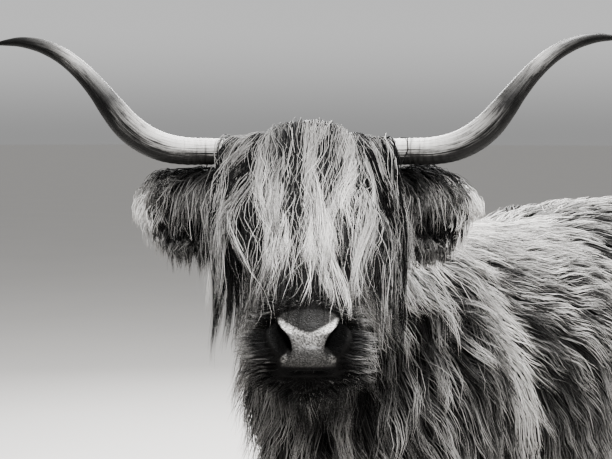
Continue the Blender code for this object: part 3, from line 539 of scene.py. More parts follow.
hide_mesh = mesh_of("hide", hide_points, hide_faces)
pad, bright = nose_marks(face_points)
lip = ramp(-mouth_away, -0.015, -0.008) * ramp(face_places(face_points)[0], 0.355, 0.385) * (1 - pad)
# The dark of the nostrils and mouth, with the painted shade on the wall round each nostril.
wet = np.maximum(nostril_and_wall_shade, mouth_mask)
marks = {
    "bare": np.maximum(pad, np.maximum(wet, lip)),
    "dark": np.maximum(wet, 0.85 * lip) * (1 - 0.9 * np.clip(bright * 1.6, 0, 1)),
    "bright": bright,
}
for name, on_the_face in marks.items():
    marks[name] = np.zeros(len(hide_points))
    marks[name][part_of_point == FACE] = on_the_face
    note(hide_mesh, name, marks[name])


def maths(operation, turned=False):
    """An operator that adds the Math node for an operation, with its two values turned round or not."""
    def apply(self, other):
        first, second = (other, self) if turned else (self, other)
        return self.tree.add("ShaderNodeMath", {"operation": operation}, {0: first, 1: second})
    return apply


class Socket:
    """A value in a tree of nodes that sums can be written with: a * (1 - b) adds the Math nodes for it."""

    def __init__(self, tree, end):
        self.tree = tree
        self.end = end

    __add__, __radd__ = maths("ADD"), maths("ADD", True)
    __sub__, __rsub__ = maths("SUBTRACT"), maths("SUBTRACT", True)
    __mul__, __rmul__ = maths("MULTIPLY"), maths("MULTIPLY", True)
    __pow__ = maths("POWER")

    def within(self, low, high, start=0.0, end=1.0):
        """From start at low to end at high, and held there beyond them."""
        inputs = {0: self, 1: low, 2: high, 3: start, 4: end}
        return self.tree.add("ShaderNodeMapRange", {"interpolation_type": "SMOOTHSTEP"}, inputs)


class Tree:
    """A tree of nodes, with one method that adds any node and a few in the words of the pieces."""

    def __init__(self, tree):
        self.nodes = tree.nodes
        self.links = tree.links

    def add(self, kind, settings=None, inputs=None, output=0):
        """A node of a type with its settings, the values or links of its sockets, and the output to use."""
        node = self.nodes.new(kind)
        for word, value in (settings or {}).items():
            if word == "stops":
                self.set_stops(node.color_ramp.elements, value)
            else:
                setattr(node, word, value)
        for socket, value in (inputs or {}).items():
            self.feed(node.inputs[socket], value)
        return Socket(self, node.outputs[output])

    def feed(self, socket, value):
        if isinstance(value, Socket):
            self.links.new(value.end, socket)
        else:
            socket.default_value = value

    def kept(self, name, output="Fac"):
        """The number that the mesh keeps for each point, or its vector."""
        return self.add("ShaderNodeAttribute", {"attribute_name": name}, output=output)

    def place(self, output="Object"):
        return self.add("ShaderNodeTexCoord", output=output)

    def parts(self, vector):
        """The three numbers of a vector."""
        return [self.add("ShaderNodeSeparateXYZ", inputs={0: vector}, output=part) for part in range(3)]

    def vectors(self, operation, first, second, output="Vector"):
        return self.add("ShaderNodeVectorMath", {"operation": operation}, {0: first, 1: second}, output)

    def scaled(self, where, *scale):
        return self.add("ShaderNodeMapping", inputs={0: where, "Scale": scale})

    def noise(self, where, scale, detail=2.0, roughness=0.5):
        inputs = {"Vector": where, "Scale": scale, "Detail": detail, "Roughness": roughness}
        return self.add("ShaderNodeTexNoise", inputs=inputs)

    def mix(self, share, first, second):
        """A colour between two others. The colour sockets of a Mix node are its seventh and eighth."""
        return self.add("ShaderNodeMix", {"data_type": "RGBA"}, {0: share, 6: first, 7: second}, 2)

    def set_stops(self, elements, stops):
        """The stops of a ramp of greys, each a value and a tone."""
        elements.remove(elements[1])
        elements[0].position, elements[0].color = stops[0][0], grey(stops[0][1])
        for place, tone in stops[1:]:
            elements.new(place).color = grey(tone)

    def greys(self, value, stops):
        return self.add("ShaderNodeValToRGB", {"stops": stops}, {0: value})

    def bump(self, height, distance, strength=1.0):
        inputs = {"Height": height, "Distance": distance, "Strength": strength}
        return self.add("ShaderNodeBump", inputs=inputs)


class Paint(Tree):
    """A material, whose shader's sockets are given by name."""

    def __init__(self, name, **constants):
        self.material = bpy.data.materials.new(name)
        self.material.use_nodes = True
        super().__init__(self.material.node_tree)
        self.give(**constants)

    def give(self, **values):
        for socket, value in values.items():
            self.feed(self.nodes["Principled BSDF"].inputs[socket.replace("_", " ")], value)
        return self.material


def grey(tone):
    """A tone of the cow's silver-grey, a touch warm."""
    return (tone, tone * 0.972, tone * 0.935, 1.0)


# Paler and darker places of skin and coat, most of them painted shade and painted light: where, how far they
# reach, and how much the tone changes there.
TONE_AND_SHADE_PATCHES = [
    # Painted shade under the chin, on the throat, on the right cheek, on the neck behind it and on the chest
    # under the head.
    (on_face(0.40, -0.12, 0.0), 0.12, -0.80),
    (on_face(0.30, -0.20, 0.0), 0.20, -0.90),
    (on_face(0.16, -0.05, -0.12), 0.12, -0.60),
    (in_head(-0.12, -0.10, -0.18), 0.13, -0.45),
    ((0.22, -0.46, 0.80), 0.24, -0.80),
    # Paler at the front of the chest, under the throat.
    ((0.00, -0.44, 0.74), 0.14, 0.35),
    # Painted shade on the left side of the neck and over both ear cups.
    ((0.26, -0.28, 0.96), 0.17, -0.40),
    (in_head(0.175, 0.0, -0.10), 0.11, -0.65),
    (in_head(-0.175, 0.0, -0.10), 0.11, -0.65),
    # Paler at the ear tips.
    (in_head(0.285, -0.02, -0.06), 0.085, 0.95),
    (in_head(-0.285, -0.02, -0.06), 0.085, 0.95),
    # Painted shade under the belly, and painted light along the top of the back.
    ((0.0, 0.35, 0.52), 0.45, -0.25),
    ((0.0, 0.30, 1.20), 0.46, 0.62),
    ((0.04, -0.14, 1.14), 0.30, 0.45),
    ((0.0, 0.95, 1.16), 0.38, 0.55),
]
# The paler ridge down the back of the shoulder, with a band of painted shadow behind it: a place on it, the
# way across it, half its width.
RIDGE_AT, RIDGE_ACROSS, RIDGE_HALF = (0.0, -0.048, 0.983), (0.0, 0.841, 0.540), 0.036


def tone_and_shade(paint, where):
    """How pale the coat is at a place: by clouds, by the height as painted light from above, by the patches,
    most of them painted shade and light, and by the ridge beside the ribs with a band of painted shadow
    behind it.
    """
    where = paint.vectors("SUBTRACT", where, tuple(MIDDLE))
    height = paint.parts(where)[2]
    # Paler the higher it is: painted light from above.
    pale = 0.36 + 0.30 * paint.noise(where, 5.1).within(0.32, 0.68) + 0.24 * height.within(0.05, 0.85)
    for place, reach, change in TONE_AND_SHADE_PATCHES:
        away = paint.vectors("DISTANCE", where, tuple(place), "Value")
        pale = pale + (1 - away.within(0.4 * reach, reach)) * change
    across = paint.vectors("DOT_PRODUCT", paint.vectors("SUBTRACT", where, RIDGE_AT), RIDGE_ACROSS, "Value")
    ridge = 1 - (across * across).within(0.0, RIDGE_HALF**2)
    # A band of painted shadow behind the ridge.
    behind = across.within(0.5 * RIDGE_HALF, 1.5 * RIDGE_HALF)
    behind = behind * (1 - across.within(2 * RIDGE_HALF, 4 * RIDGE_HALF))
    beside_ribs = (1 - height.within(0.96, 1.06)) * height.within(0.58, 0.80)
    return pale + (ridge * 1.1 - behind * 0.6) * beside_ribs


def hide_paint():
    """Grey skin with short flat fur as fine bump, the stippled nose, and the dark wet nostrils and lips, with
    painted shade on the wall round the nostrils and the coat's painted shade and light over the skin.
    """
    paint = Paint("hide", IOR=1.45, Specular_IOR_Level=0.03, Coat_Roughness=0.22)
    where, bare, dark, bright = paint.place(), paint.kept("bare"), paint.kept("dark"), paint.kept("bright")
    fur = paint.noise(paint.scaled(where, 1.0, 1.0, 0.25), 420.0, 3.0)
    # The paler and darker places of the coat, painted shade and light among them.
    tone = paint.mix(tone_and_shade(paint, where), grey(0.0006), grey(0.003))
    tone = paint.mix(fur.within(0.35, 0.7) * 0.5, tone, grey(0.006))
    stipple = paint.add("ShaderNodeTexVoronoi", {"feature": "F1"}, {"Vector": where, "Scale": 300.0})
    speck = paint.noise(where, 320.0, 3.0, 0.7).within(0.50, 0.58)
    patch = paint.mix(bright, grey(0.0007), grey(0.42))
    patch = paint.mix(speck * 0.75, patch, grey(0.008))
    patch = paint.mix(stipple.within(0.35, 0.75) * 0.6, patch, grey(0.004))
    tone = paint.mix(bare, tone, patch)
    # Dark wet nostrils, mouth and lips, and painted shade on the wall round the nostrils.
    tone = paint.mix(dark, tone, grey(0.0003))
    normal = paint.bump(stipple.within(0.0, 0.6) * bare + fur * (1 - bare) * 0.6, 0.0012)
    rough = 0.85 - 0.35 * bare * (1 - dark)
    return paint.give(Base_Color=tone, Roughness=rough, Normal=normal, Coat_Weight=bright * 0.2)


flesh_nodes = ["torso", "neck", "head", "tail", "tail_switch", "ear_left", "ear_right"]
for end in ("fore", "hind"):
    for part in ("upper", "lower"):
        flesh_nodes += [f"{end}leg_{part}_left", f"{end}leg_{part}_right"]
hide = piece_of("hide", hide_mesh, hide_paint(), flesh_nodes)


# The horns are keratin sheaths over bone: pale and streaked, ringed at the root, dark to the tips.
# Each grows out of the poll, level at first, then forward and up. The left tip stands a little higher.

# From the root to the tip: out, forward, up, radius.
HORN = np.array([
    (0.088, -0.004, -0.004, 0.0225),
    (0.13, 0.0, 0.0, 0.0228),
    (0.175, 0.006, 0.001, 0.023),
    (0.215, 0.014, 0.002, 0.0238),
    (0.252, 0.024, 0.009, 0.0248),
    (0.284, 0.034, 0.024, 0.0252),
    (0.311, 0.042, 0.046, 0.0246),
    (0.334, 0.047, 0.074, 0.0222),
    (0.358, 0.049, 0.106, 0.0185),
    (0.386, 0.048, 0.137, 0.016),
    (0.418, 0.043, 0.163, 0.0142),
    (0.455, 0.034, 0.181, 0.012),
    (0.492, 0.022, 0.189, 0.009),
    (0.522, 0.01, 0.189, 0.0055),
    (0.545, 0.0, 0.187, 0.0022),
])
LEFT_TIP_RISE, RING_HEIGHT, RING_LENGTH = 0.010, 0.0005, 0.011


def horn(side):
    """Circles along the horn's curve, swollen by fine rings that fade from the root: its shape and mesh."""
    out, forward, up, radius = smooth_rows(HORN, 220).T
    rise = LEFT_TIP_RISE * np.maximum(0, (out - 0.36) / 0.185) * (side > 0)
    path = in_head(side * out, forward, up + rise)
    length = np.append(0, np.cumsum(np.linalg.norm(np.diff(path, axis=0), axis=1)))
    fade = ramp(-length, -0.24, -0.05)
    rings = RING_HEIGHT * fade * np.sin(2 * math.pi * (length / RING_LENGTH + 0.3 * np.sin(length * 70)))
    shape = tube(path, radius + rings, AHEAD, 48)
    mesh = mesh_of("horn", *shape)
    turn = turns(48)
    grain = np.broadcast_arrays(np.cos(turn), np.sin(turn), length[:, None] * 10)
    grain = np.stack(grain, -1).reshape(-1, 3)
    note(mesh, "grain", np.vstack([grain, grain[0], grain[-1]]))
    note(mesh, "underside", -np.append((circles(path, AHEAD, 48) @ UP).ravel(), [0.0, 0.0]))
    return shape, mesh


def horn_paint():
    """Pale keratin with long streaks and ring lines, mottled half way, darkened on the underside by painted
    shade, and black at the tip.
    """
    paint = Paint("horn", IOR=1.54, Specular_IOR_Level=0.06)
    grain = paint.kept("grain", "Vector")
    length = paint.parts(grain)[2] * 0.1
    streaks = paint.noise(paint.scaled(grain, 5.0, 5.0, 0.6), 2.4, 4.0, 0.6)
    rings = paint.noise(paint.scaled(grain, 0.15, 0.15, 9.0), 1.0, 3.0, 0.6)
    mottle = paint.noise(grain, 3.0, 4.0, 0.65)
    tone = paint.greys(length * 1.6, [
        (0.0, 0.30), (0.20, 0.26), (0.36, 0.16), (0.47, 0.012), (0.54, 0.050), (0.61, 0.14), (0.68, 0.030),
        (0.76, 0.004), (1.0, 0.0005),
    ])
    tone = paint.mix(streaks.within(0.45, 0.70) * 0.6, tone, grey(0.006))
    tone = paint.mix(mottle.within(0.50, 0.66) * length.within(0.10, 0.26) * 0.7, tone, grey(0.003))
    tone = paint.mix(rings.within(0.55, 0.66) * (1 - length.within(0.05, 0.30)) * 0.7, tone, grey(0.015))
    # Painted shade on the underside, broken up by the streaks and the mottle.
    underside_shade = paint.kept("underside") + (streaks - 0.5) * 1.6 + (mottle - 0.5) * 0.8
    tone = paint.mix(underside_shade.within(-0.45, 0.35) * 0.97, tone, grey(0.001))
    normal = paint.bump(streaks * 0.5 + rings, 0.0004)
    return paint.give(Base_Color=tone, Roughness=0.36 + 0.25 * streaks, Normal=normal)


horn_finish = horn_paint()
horn_shapes = []
for side, word in SIDES:
    horn_shape, horn_mesh = horn(side)
    horn_shapes.append(horn_shape)
    piece_of(f"horn_sheath_{word}", horn_mesh, horn_finish, [f"horn_{word}"])


# The coat grows out of the hide in long overlapping locks, bunches of strands drawn together at the tips.
# Every strand is a thin closed blade of three-sided sections that is combed over the hide from its root.

ROOT_DEPTH, FLOOR_GAP, PATCH_SIZE, BLADE_THICKNESS = 0.004, 0.004, 0.003, 0.45

hide_mesh.calc_loop_triangles()
triangles = np.empty(len(hide_mesh.loop_triangles) * 3, np.int32)
hide_mesh.loop_triangles.foreach_get("vertices", triangles)
triangles = triangles.reshape(-1, 3)
under_points, under_faces = joined([(hide_points, [triangles]), *horn_shapes])
under_faces = [face for faces in under_faces for face in faces.tolist()]
under_hair = BVHTree.FromPolygons(under_points.tolist(), under_faces)
corners = hide_points[triangles]
triangle_normals = np.cross(corners[:, 1] - corners[:, 0], corners[:, 2] - corners[:, 0])
triangle_areas = np.linalg.norm(triangle_normals, axis=1) / 2
triangle_normals = unit(triangle_normals)
triangle_middles = corners.mean(1)
triangle_parts = part_of_point[triangles[:, 0]]


def unwrap(mesh):
    """Lays the hide out flat by its own shape, and gives the corners of its triangles on that layout."""
    for thing in bpy.data.objects:
        thing.select_set(thing is hide)
    bpy.context.view_layer.objects.active = hide
    bpy.ops.object.mode_set(mode="EDIT")
    bpy.ops.mesh.select_all(action="SELECT")
    bpy.ops.uv.smart_project(angle_limit=math.radians(66), island_margin=0.002)
    bpy.ops.object.mode_set(mode="OBJECT")
    laid = np.empty(len(mesh.loops) * 2, np.float32)
    mesh.uv_layers.active.data.foreach_get("uv", laid)
    mesh.calc_loop_triangles()
    loops = np.empty(len(mesh.loop_triangles) * 3, np.int32)
    mesh.loop_triangles.foreach_get("loops", loops)
    return laid.reshape(-1, 2)[loops.reshape(-1, 3)]


layout = unwrap(hide_mesh)


def inside(threes, u, v):
    """A place in each triangle: a + u (b - a) + v (c - a)."""
    a, b, c = (threes[:, k] for k in range(3))
    return a + u * (b - a) + v * (c - a)


def scatter(count, weight, chance):
    """Roots spread over the hide by area times weight: the place of each, the way out and the place on the
    layout."""
    share = np.cumsum(triangle_areas * weight)
    draws = (np.arange(count) + chance.random(count)) / count * share[-1]
    chosen = np.minimum(np.searchsorted(share, draws), len(share) - 1)
    u, v = chance.random((2, count, 1))
    over = u + v > 1
    u, v = np.where(over, 1 - u, u), np.where(over, 1 - v, v)
    return inside(corners[chosen], u, v), triangle_normals[chosen], inside(layout[chosen], u, v)


def nearest_below(points):
    """The nearest places on the hide or the horns, and the ways out from them there."""
    found = [under_hair.find_nearest(point)[:2] for point in points.tolist()]
    return np.array([tuple(spot) for spot, _ in found]), np.array([tuple(out) for _, out in found])


def close_until(end):
    """Strands that lie close to the hide over the first part of their length and are free after it."""
    return lambda spots, share: ramp(-share, -end, -0.5 * end)


def free(spots, share):
    return 0.0


def comb(spots, outs, lie, lengths, shares, lift, rise, held, easing):
    """Paths from the roots: each step adds its share of the length along the lie, is kept lift * share^rise
    off what is below, and is laid down to that height as far as it is held there. The path is then eased to
    (before + 2 here + after) / 4 a few times, and what has sunk too low by that is raised again."""
    path, ways = [spots - outs * ROOT_DEPTH], [outs]
    roots, spot, ahead = spots, spots, unit(lie(spots, outs, 0.0, spots))
    for before, share in zip(shares, shares[1:]):
        ahead = unit(unit(lie(spot, outs, share, roots)) + 0.6 * ahead)
        spot = spot + ahead * (lengths * (share - before))[:, None]
        near, outs = nearest_below(spot)
        height = dot(spot - near, outs)
        short = lift * share**rise - height
        spot = spot + outs * np.where(short > 0, short, short * held(spot, share))[:, None]
        path.append(spot)
        ways.append(outs)
    path, ways = np.stack(path, 1), np.stack(ways, 1)
    for _ in range(easing):
        for line in (path, ways):
            line[:, 1:-1] = (line[:, :-2] + 2 * line[:, 1:-1] + line[:, 2:]) / 4
    for step, share in enumerate(shares[1:-1], 1):
        near, outs = nearest_below(path[:, step])
        short = 0.002 + 0.8 * lift * share**rise - dot(path[:, step] - near, outs)
        path[:, step] += outs * np.maximum(short, 0.0)[:, None]
    return path, unit(ways)


def drawn_together(path, spots, shares, bunch, pull, late, chance):
    """Moves each strand towards the leader of its bunch by about pull * share^late. One in a bunch leads."""
    count = len(path)
    leaders = chance.permutation(count)[: max(count // bunch, 1)]
    away = dot(spots, spots)[:, None] + dot(spots[leaders], spots[leaders]) - 2 * spots @ spots[leaders].T
    leader = leaders[away.argmin(1)]
    own = chance.uniform(2 * pull - 1.05, 1.05, count)[:, None] * shares**late
    return path + (path[leader] - path) * own[..., None], leader


def path_sides(path, ways):
    """Unit vectors along each path and across it."""
    along = unit(np.gradient(path, axis=1))
    return along, unit(np.cross(along, ways))


def waved(path, ways, leader, lengths, shares, wave, stretch, frizz, chance):
    """Adds wave * share * sin(2 pi (length * share / stretch + phase)) across and cos, half as much, out."""
    count = len(path)
    across = path_sides(path, ways)[1]
    phase = chance.random(count)[leader] + chance.normal(0, 0.06, count)
    turn = 2 * math.pi * (lengths[:, None] * shares / stretch + phase[:, None])
    size = wave * np.minimum(shares * 2.2, 1.0)
    stray = chance.normal(0, frizz * wave, (count, 1, 3)) * shares[None, :, None] ** 1.5
    side = (size * np.sin(turn))[..., None] * across
    return path + side + (0.5 * size * np.cos(turn) + 0.3 * size)[..., None] * ways + stray


def blades(name, path, ways, widths, flats, leader, shares, chance):
    """Three-sided sections along every path, path -+ side * w and path + out * BLADE_THICKNESS * w, ending in
    a point, where w = width * (0.5 + 0.5 min(1, 3 share)) * (1 - share^2.2)."""
    count, rings = path.shape[:2]
    along, side = path_sides(path, ways)
    out = np.cross(side, along)
    roll = chance.normal(0, 0.5, count)[:, None, None]
    side, out = side * np.cos(roll) + out * np.sin(roll), out * np.cos(roll) - side * np.sin(roll)
    w = (widths[:, None] * (0.5 + 0.5 * np.minimum(1, 3 * shares)) * (1 - shares**2.2))[..., None]
    sections = np.stack([path - side * w, path + side * w, path + out * w * BLADE_THICKNESS], 2)[:, :-1]
    sides = 3 * (rings - 1)
    points = np.concatenate([sections.reshape(count, sides, 3), path[:, -1:]], 1)
    start = (np.arange(count) * (sides + 1))[:, None, None]
    ring = (np.arange(rings - 2) * 3)[:, None] + np.arange(3)
    beside = (np.arange(rings - 2) * 3)[:, None] + np.array([1, 2, 0])
    quads = np.stack([ring, beside, beside + 3, ring + 3], -1).reshape(1, -1, 4) + start
    a, b, c = 3 * (rings - 2) + np.arange(3)
    ends = np.array([[2, 1, 0], [a, b, sides], [b, c, sides], [c, a, sides]])
    faces = [quads.reshape(-1, 4), (ends[None] + start).reshape(-1, 3)]
    mesh = mesh_of(name, points.reshape(-1, 3), faces)
    share = np.append(np.repeat(shares[:-1], 3), 1.0)
    tint, lock_tint = chance.random(count), chance.random(count)[leader]
    strand = np.stack(np.broadcast_arrays(share, tint[:, None], lock_tint[:, None]), -1)
    note(mesh, "strand", strand.reshape(-1, 3))
    note(mesh, "root", np.repeat(path[:, 0] + MIDDLE, sides + 1, axis=0))
    across = np.append(np.tile([-0.5, 0.5, 0.0], rings - 1), 0.0)
    patch = flats[:, None] + PATCH_SIZE * np.stack([across, share - 0.5], -1)
    spread = np.clip(patch, 0.002, 0.998).reshape(-1, 2)
    loops = np.concatenate([face.ravel() for face in faces])
    mesh.uv_layers.new(name="OFBake").data.foreach_set("uv", spread[loops].astype(np.float32).ravel())
    return mesh


def coat_paint(name, root_tone, mid_tone, tip_tone, darkest):
    """Hair: darker towards the root by painted shade deep in the coat and paler towards the tip, each lock
    and strand its own tone, streaked along it. In the palest places, partly painted light along the top of
    the back, it is pale all along."""
    paint = Paint(name, IOR=1.5, Specular_IOR_Level=0.03)
    share, tint, lock_tint = paint.parts(paint.kept("strand", "Vector"))
    # Darker towards the root: painted shade of the strands lying over it.
    depth = paint.greys(share, [(0.0, root_tone), (0.50, mid_tone), (1.0, tip_tone)])
    # The paler and darker places by each strand's root, painted shade and light among them.
    pale = tone_and_shade(paint, paint.kept("root", "Vector"))
    own = (0.65 * lock_tint + 0.35 * tint + 0.60 * pale - 0.42).within(0.05, 1.0)
    tone = paint.mix(own, grey(darkest), depth)
    streak = paint.noise(paint.place(), 260.0)
    tone = paint.mix(streak.within(0.35, 0.8) * 0.25, tone, depth)
    # Pale all along in the palest places, partly painted light along the top of the back.
    tone = paint.mix(pale.within(1.0, 1.8) * 0.75, tone, grey(tip_tone))
    return paint.give(Base_Color=tone, Roughness=0.42 + 0.2 * tint, Normal=paint.bump(streak, 0.0004, 0.5))


def at(spots, measure):
    """A measure at each place, from its function or the same number everywhere."""
    return measure(spots) if callable(measure) else measure


def grow(name, count, weight, lie, length, paint, seed, width, *, lift, bunch, pull, wave, stretch,
         steps=6, early=1.0, rise=1.0, held=free, easing=2, late=0.9, frizz=0.22):
    """One piece of the coat: scattered, combed, drawn together, waved and made into blades."""
    chance = np.random.default_rng(seed)
    shares = np.linspace(0, 1, steps + 1) ** early
    spots, outs, flats = scatter(count, weight, chance)
    lengths = at(spots, length) * chance.uniform(0.75, 1.15, count)
    lifts = at(spots, lift) * chance.uniform(0.3, 1.3, count)
    path, ways = comb(spots, outs, lie, lengths, shares, lifts, rise, held, easing)
    path, leader = drawn_together(path, spots, shares, bunch, pull, late, chance)
    path = waved(path, ways, leader, lengths, shares, wave, stretch, frizz, chance)
    path[:, :, 2] = np.maximum(path[:, :, 2], FLOOR_GAP)
    widths = width * chance.uniform(0.65, 1.25, count)
    piece_of(name, blades(name, path, ways, widths, flats, leader, shares, chance), paint)


def level(ahead, outs):
    """The part of a direction that lies along the hide, or the direction itself once it points off it."""
    flat = ahead - outs * np.minimum(dot(ahead, outs), 0.0)[:, None]
    return np.where(np.linalg.norm(flat, axis=1, keepdims=True) > 0.3, flat, ahead)


def swirl(spots, scale, size):
    """A smooth wander: sines of sums over the place."""
    x, y, z = (spots * scale).T
    waves = [np.sin(y * 1.3 + z * 2.1), np.sin(z * 1.7 + x * 1.1 + 1.0), np.sin(x * 1.9 + y * 1.5 + 2.0)]
    return size * np.stack(waves, -1)


def body_lie(spots, outs, share, roots):
    """Back along the top of the body, slanting back and down over its sides, and straight down below."""
    x, _, z = spots.T
    high = np.clip((z - 0.80) / 0.28, 0, 1)
    back = (0.75 + 0.50 * high) * (1 - 0.7 * ramp(-z, -0.66, -0.50))
    ahead = np.stack([0.35 * high * np.sign(x), back, -1.0 + 0.66 * high], -1)
    return level(ahead + swirl(spots, 7.0, 0.22), outs)


def body_length(spots):
    """Longest low on the sides and at the brisket, shorter along the back."""
    return 0.190 + 0.060 * ramp(-spots[:, 2], -0.95, -0.65)


def body_lift(spots):
    """Fuller on the sides than along the back, and fullest at the front of the chest."""
    return 0.026 - 0.017 * ramp(spots[:, 2], 0.98, 1.08) + 0.026 * ramp(-spots[:, 1], 0.12, 0.22)


x, y, z = triangle_middles.T
head_out, head_forward, head_up = head_places(triangle_middles)
along_face, off_face, _ = face_places(triangle_middles)
on_body = triangle_parts == BODY
behind_neck = (y + 0.220) - (z - 0.930)
at_legs = (z < 0.54) & (abs(x) > 0.05) & ((y < 0.12) | (y > 0.85))
on_trunk = on_body & (behind_neck > -0.02) & (z > 0.42) & ~at_legs
long_hair = coat_paint("long_coat", 0.0012, 0.028, 0.52, 0.003)
for name, count, where, width, seed in (
    ("coat_left_shoulder", 5700, (x > -0.03) & (y < 0.36), 0.0011, 3),
    ("coat_left_flank", 3900, (x > -0.03) & (y >= 0.33), 0.0024, 4),
    ("coat_right_shoulder", 3000, (x <= 0.03) & (y < 0.36), 0.0030, 5),
    ("coat_right_flank", 3000, (x <= 0.03) & (y >= 0.33), 0.0030, 6),
):
    grow(name, count, on_trunk & where, body_lie, body_length, long_hair, seed, width,
         lift=body_lift, held=close_until(0.8), bunch=14, pull=0.58, wave=0.007, stretch=0.16, frizz=0.5)


# The neck carries a thick mane that falls from its crest over both sides and hangs under the throat.
# It starts on the back of the poll, where the forelock ends.

BACK = np.array([0.0, 1.0, 0.0])
MANE_LENGTH = 0.200


def neck_lie(spots, outs, share, roots):
    """Down and back from the crest, hanging straight under the throat."""
    back = 0.60 * ramp(spots[:, 2], 0.80, 1.0)
    return level(back[:, None] * BACK - UP + swirl(spots, 9.0, 0.20), outs)


def mane_lift(spots):
    """Flat against the back of the poll and along the crest, fuller down the sides of the neck."""
    middle, half = (np.interp(spots[:, 1], NECK[:, 1], NECK[:, column]) for column in (2, 4))
    crest = ramp((spots[:, 2] - middle) / half, 0.45, 0.90)
    low = 0.036 * ramp(-spots[:, 2], -1.02, -0.84)
    out, forward, up = head_places(spots)
    cheek = 0.036 * ramp(-out, 0.02, 0.07) * ramp(-up, 0.02, 0.08) * ramp(up, -0.34, -0.22)
    return (0.010 + 0.024 * ramp(-forward, 0.08, 0.20)) * (1 - 0.7 * crest) + low + cheek


on_neck = on_body & (behind_neck <= 0.03) & (head_forward < 0.0) & (z > 0.55)
on_nape = (triangle_parts == FACE) & (head_forward <= -0.03) & (head_up > -0.08)
poll_first = 1 + 3.5 * ramp(head_forward, -0.14, -0.08) * ramp(head_up, -0.10, -0.03)
grow("mane", 5600, (on_neck | on_nape) * poll_first, neck_lie, MANE_LENGTH, long_hair, 7, 0.0012,
     lift=mane_lift, held=close_until(0.6), bunch=14, pull=0.75, late=0.6, wave=0.009, stretch=0.14,
     frizz=0.6)


# The legs have a shorter, flatter coat, longest on the thighs and forearms, and fuller at the fetlocks.
# It grows down to the coronets, where it covers the upper edge of the hooves.

def leg_lie(spots, outs, share, roots):
    """Down and a little back."""
    return level(0.30 * BACK - UP + swirl(spots, 14.0, 0.15), outs)


def leg_length(spots):
    return 0.042 + 0.085 * ramp(spots[:, 2], 0.22, 0.46) + 0.008 * ramp(-spots[:, 2], -0.16, -0.10)


on_legs = on_body & (z < 0.62) & (z > 0.085) & ~on_trunk
leg_hair = coat_paint("leg_coat", 0.003, 0.040, 0.24, 0.010)
for name, where, seed in (("leg_coat_left", x > 0, 8), ("leg_coat_right", x <= 0, 9)):
    grow(name, 3350, on_legs & where, leg_lie, leg_length, leg_hair, seed, 0.0019,
         steps=4, lift=0.006, bunch=5, pull=0.35, wave=0.002, stretch=0.05)


# The tail has short hair down the dock and a long switch that reaches below the height of the hocks.
# It hangs straight down, clear of the rump.

def tail_lie(spots, outs, share, roots):
    """Straight down, standing off a little at the root."""
    return outs * 0.14 * (1 - share) - UP


def tail_hair_length(spots):
    return 0.09 + 0.20 * ramp(-spots[:, 2], -0.78, -0.66)


tail_weight = (triangle_parts == TAIL_PART) * (0.4 + ramp(-z, -0.78, -0.68))
grow("tail_coat", 1700, tail_weight, tail_lie, tail_hair_length, long_hair, 10, 0.0020,
     lift=0.010, bunch=9, pull=0.6, wave=0.006, stretch=0.10)


# The face has short flat fur that runs up and outwards from the nose, longer on the cheeks and the chin.
# It is densest round the muzzle, which the forelock doesn't cover.

def face_lie(spots, outs, share, roots):
    """Away from the nose: outwards beside it, back along the cheeks, and down under the jaw."""
    along, off, out = face_places(spots)
    muzzle = ramp(along, 0.27, 0.36)
    beside = np.sign(out) * ramp(abs(out), 0.0, 0.03) * (0.5 + 1.1 * muzzle)
    up_face = 0.9 - 0.75 * muzzle
    down = 0.35 + 0.9 * ramp(-off, 0.03, 0.08)
    ahead = beside[:, None] * LEFT - up_face[:, None] * DOWN_FACE - down[:, None] * UP
    return level(ahead + swirl(spots, 30.0, 0.15), outs)


def face_length(spots):
    along, off, out = face_places(spots)
    muzzle_side = ramp(along, 0.30, 0.36) * ramp(abs(out), 0.045, 0.062)
    nose_bridge = ramp(along, 0.26, 0.33) * ramp(-abs(out), -0.05, -0.03)
    under = ramp(-off, 0.07, 0.10)
    return 0.034 - 0.020 * nose_bridge + 0.014 * muzzle_side + 0.024 * under


def face_lift(spots):
    along, _, out = face_places(spots)
    return 0.006 + 0.012 * ramp(along, 0.30, 0.36) * ramp(abs(out), 0.045, 0.065)


on_head = (triangle_parts == FACE) & (head_forward > -0.055)
furred = on_head * (1 - ramp(marks["bare"][triangles].mean(1), 0.1, 0.5))
face_hair = coat_paint("face_coat", 0.0004, 0.010, 0.26, 0.0006)
muzzle_first = (0.3 + 2.2 * ramp(along_face, 0.25, 0.33)) * ramp(along_face, 0.04, 0.09)
grow("face_coat", 4000, furred * muzzle_first, face_lie, face_length, face_hair, 11, 0.0007,
     steps=5, lift=face_lift, rise=0.7, bunch=5, pull=0.5, wave=0.0015, stretch=0.03)


# The ears are hung with long hair, darker over the cups by painted shade and pale towards the tips.
# It falls from the upper rim across the cup and fringes the lower rim.

def ear_share(out):
    """How far along the ear a place lies, from 0 at its root to 1 at its tip."""
    return (abs(out) - EAR_OUT) / EAR_LENGTH


def ear_lie(spots, outs, share, roots):
    """Up and outwards from the upper rim at first, but not by the tip, then more and more straight down."""
    out, _, up = head_places(roots)
    upper = ramp(up + 0.075 + 0.22 * (abs(out) - EAR_OUT), -0.01, 0.03)
    from_tip = 1 - 0.6 * ramp(abs(out), 0.20, 0.27)
    sideways = np.sign(out) * (from_tip * (0.15 + 0.85 * upper * (1 - share)) - 0.30 * share)
    rise = upper * (1.45 - 1.9 * share) - 1
    ahead = sideways[:, None] * LEFT + rise[:, None] * UP + (0.22 - 0.15 * share) * AHEAD
    return ahead + 0.25 * (1 - share) * outs + swirl(spots, 25.0, 0.15)


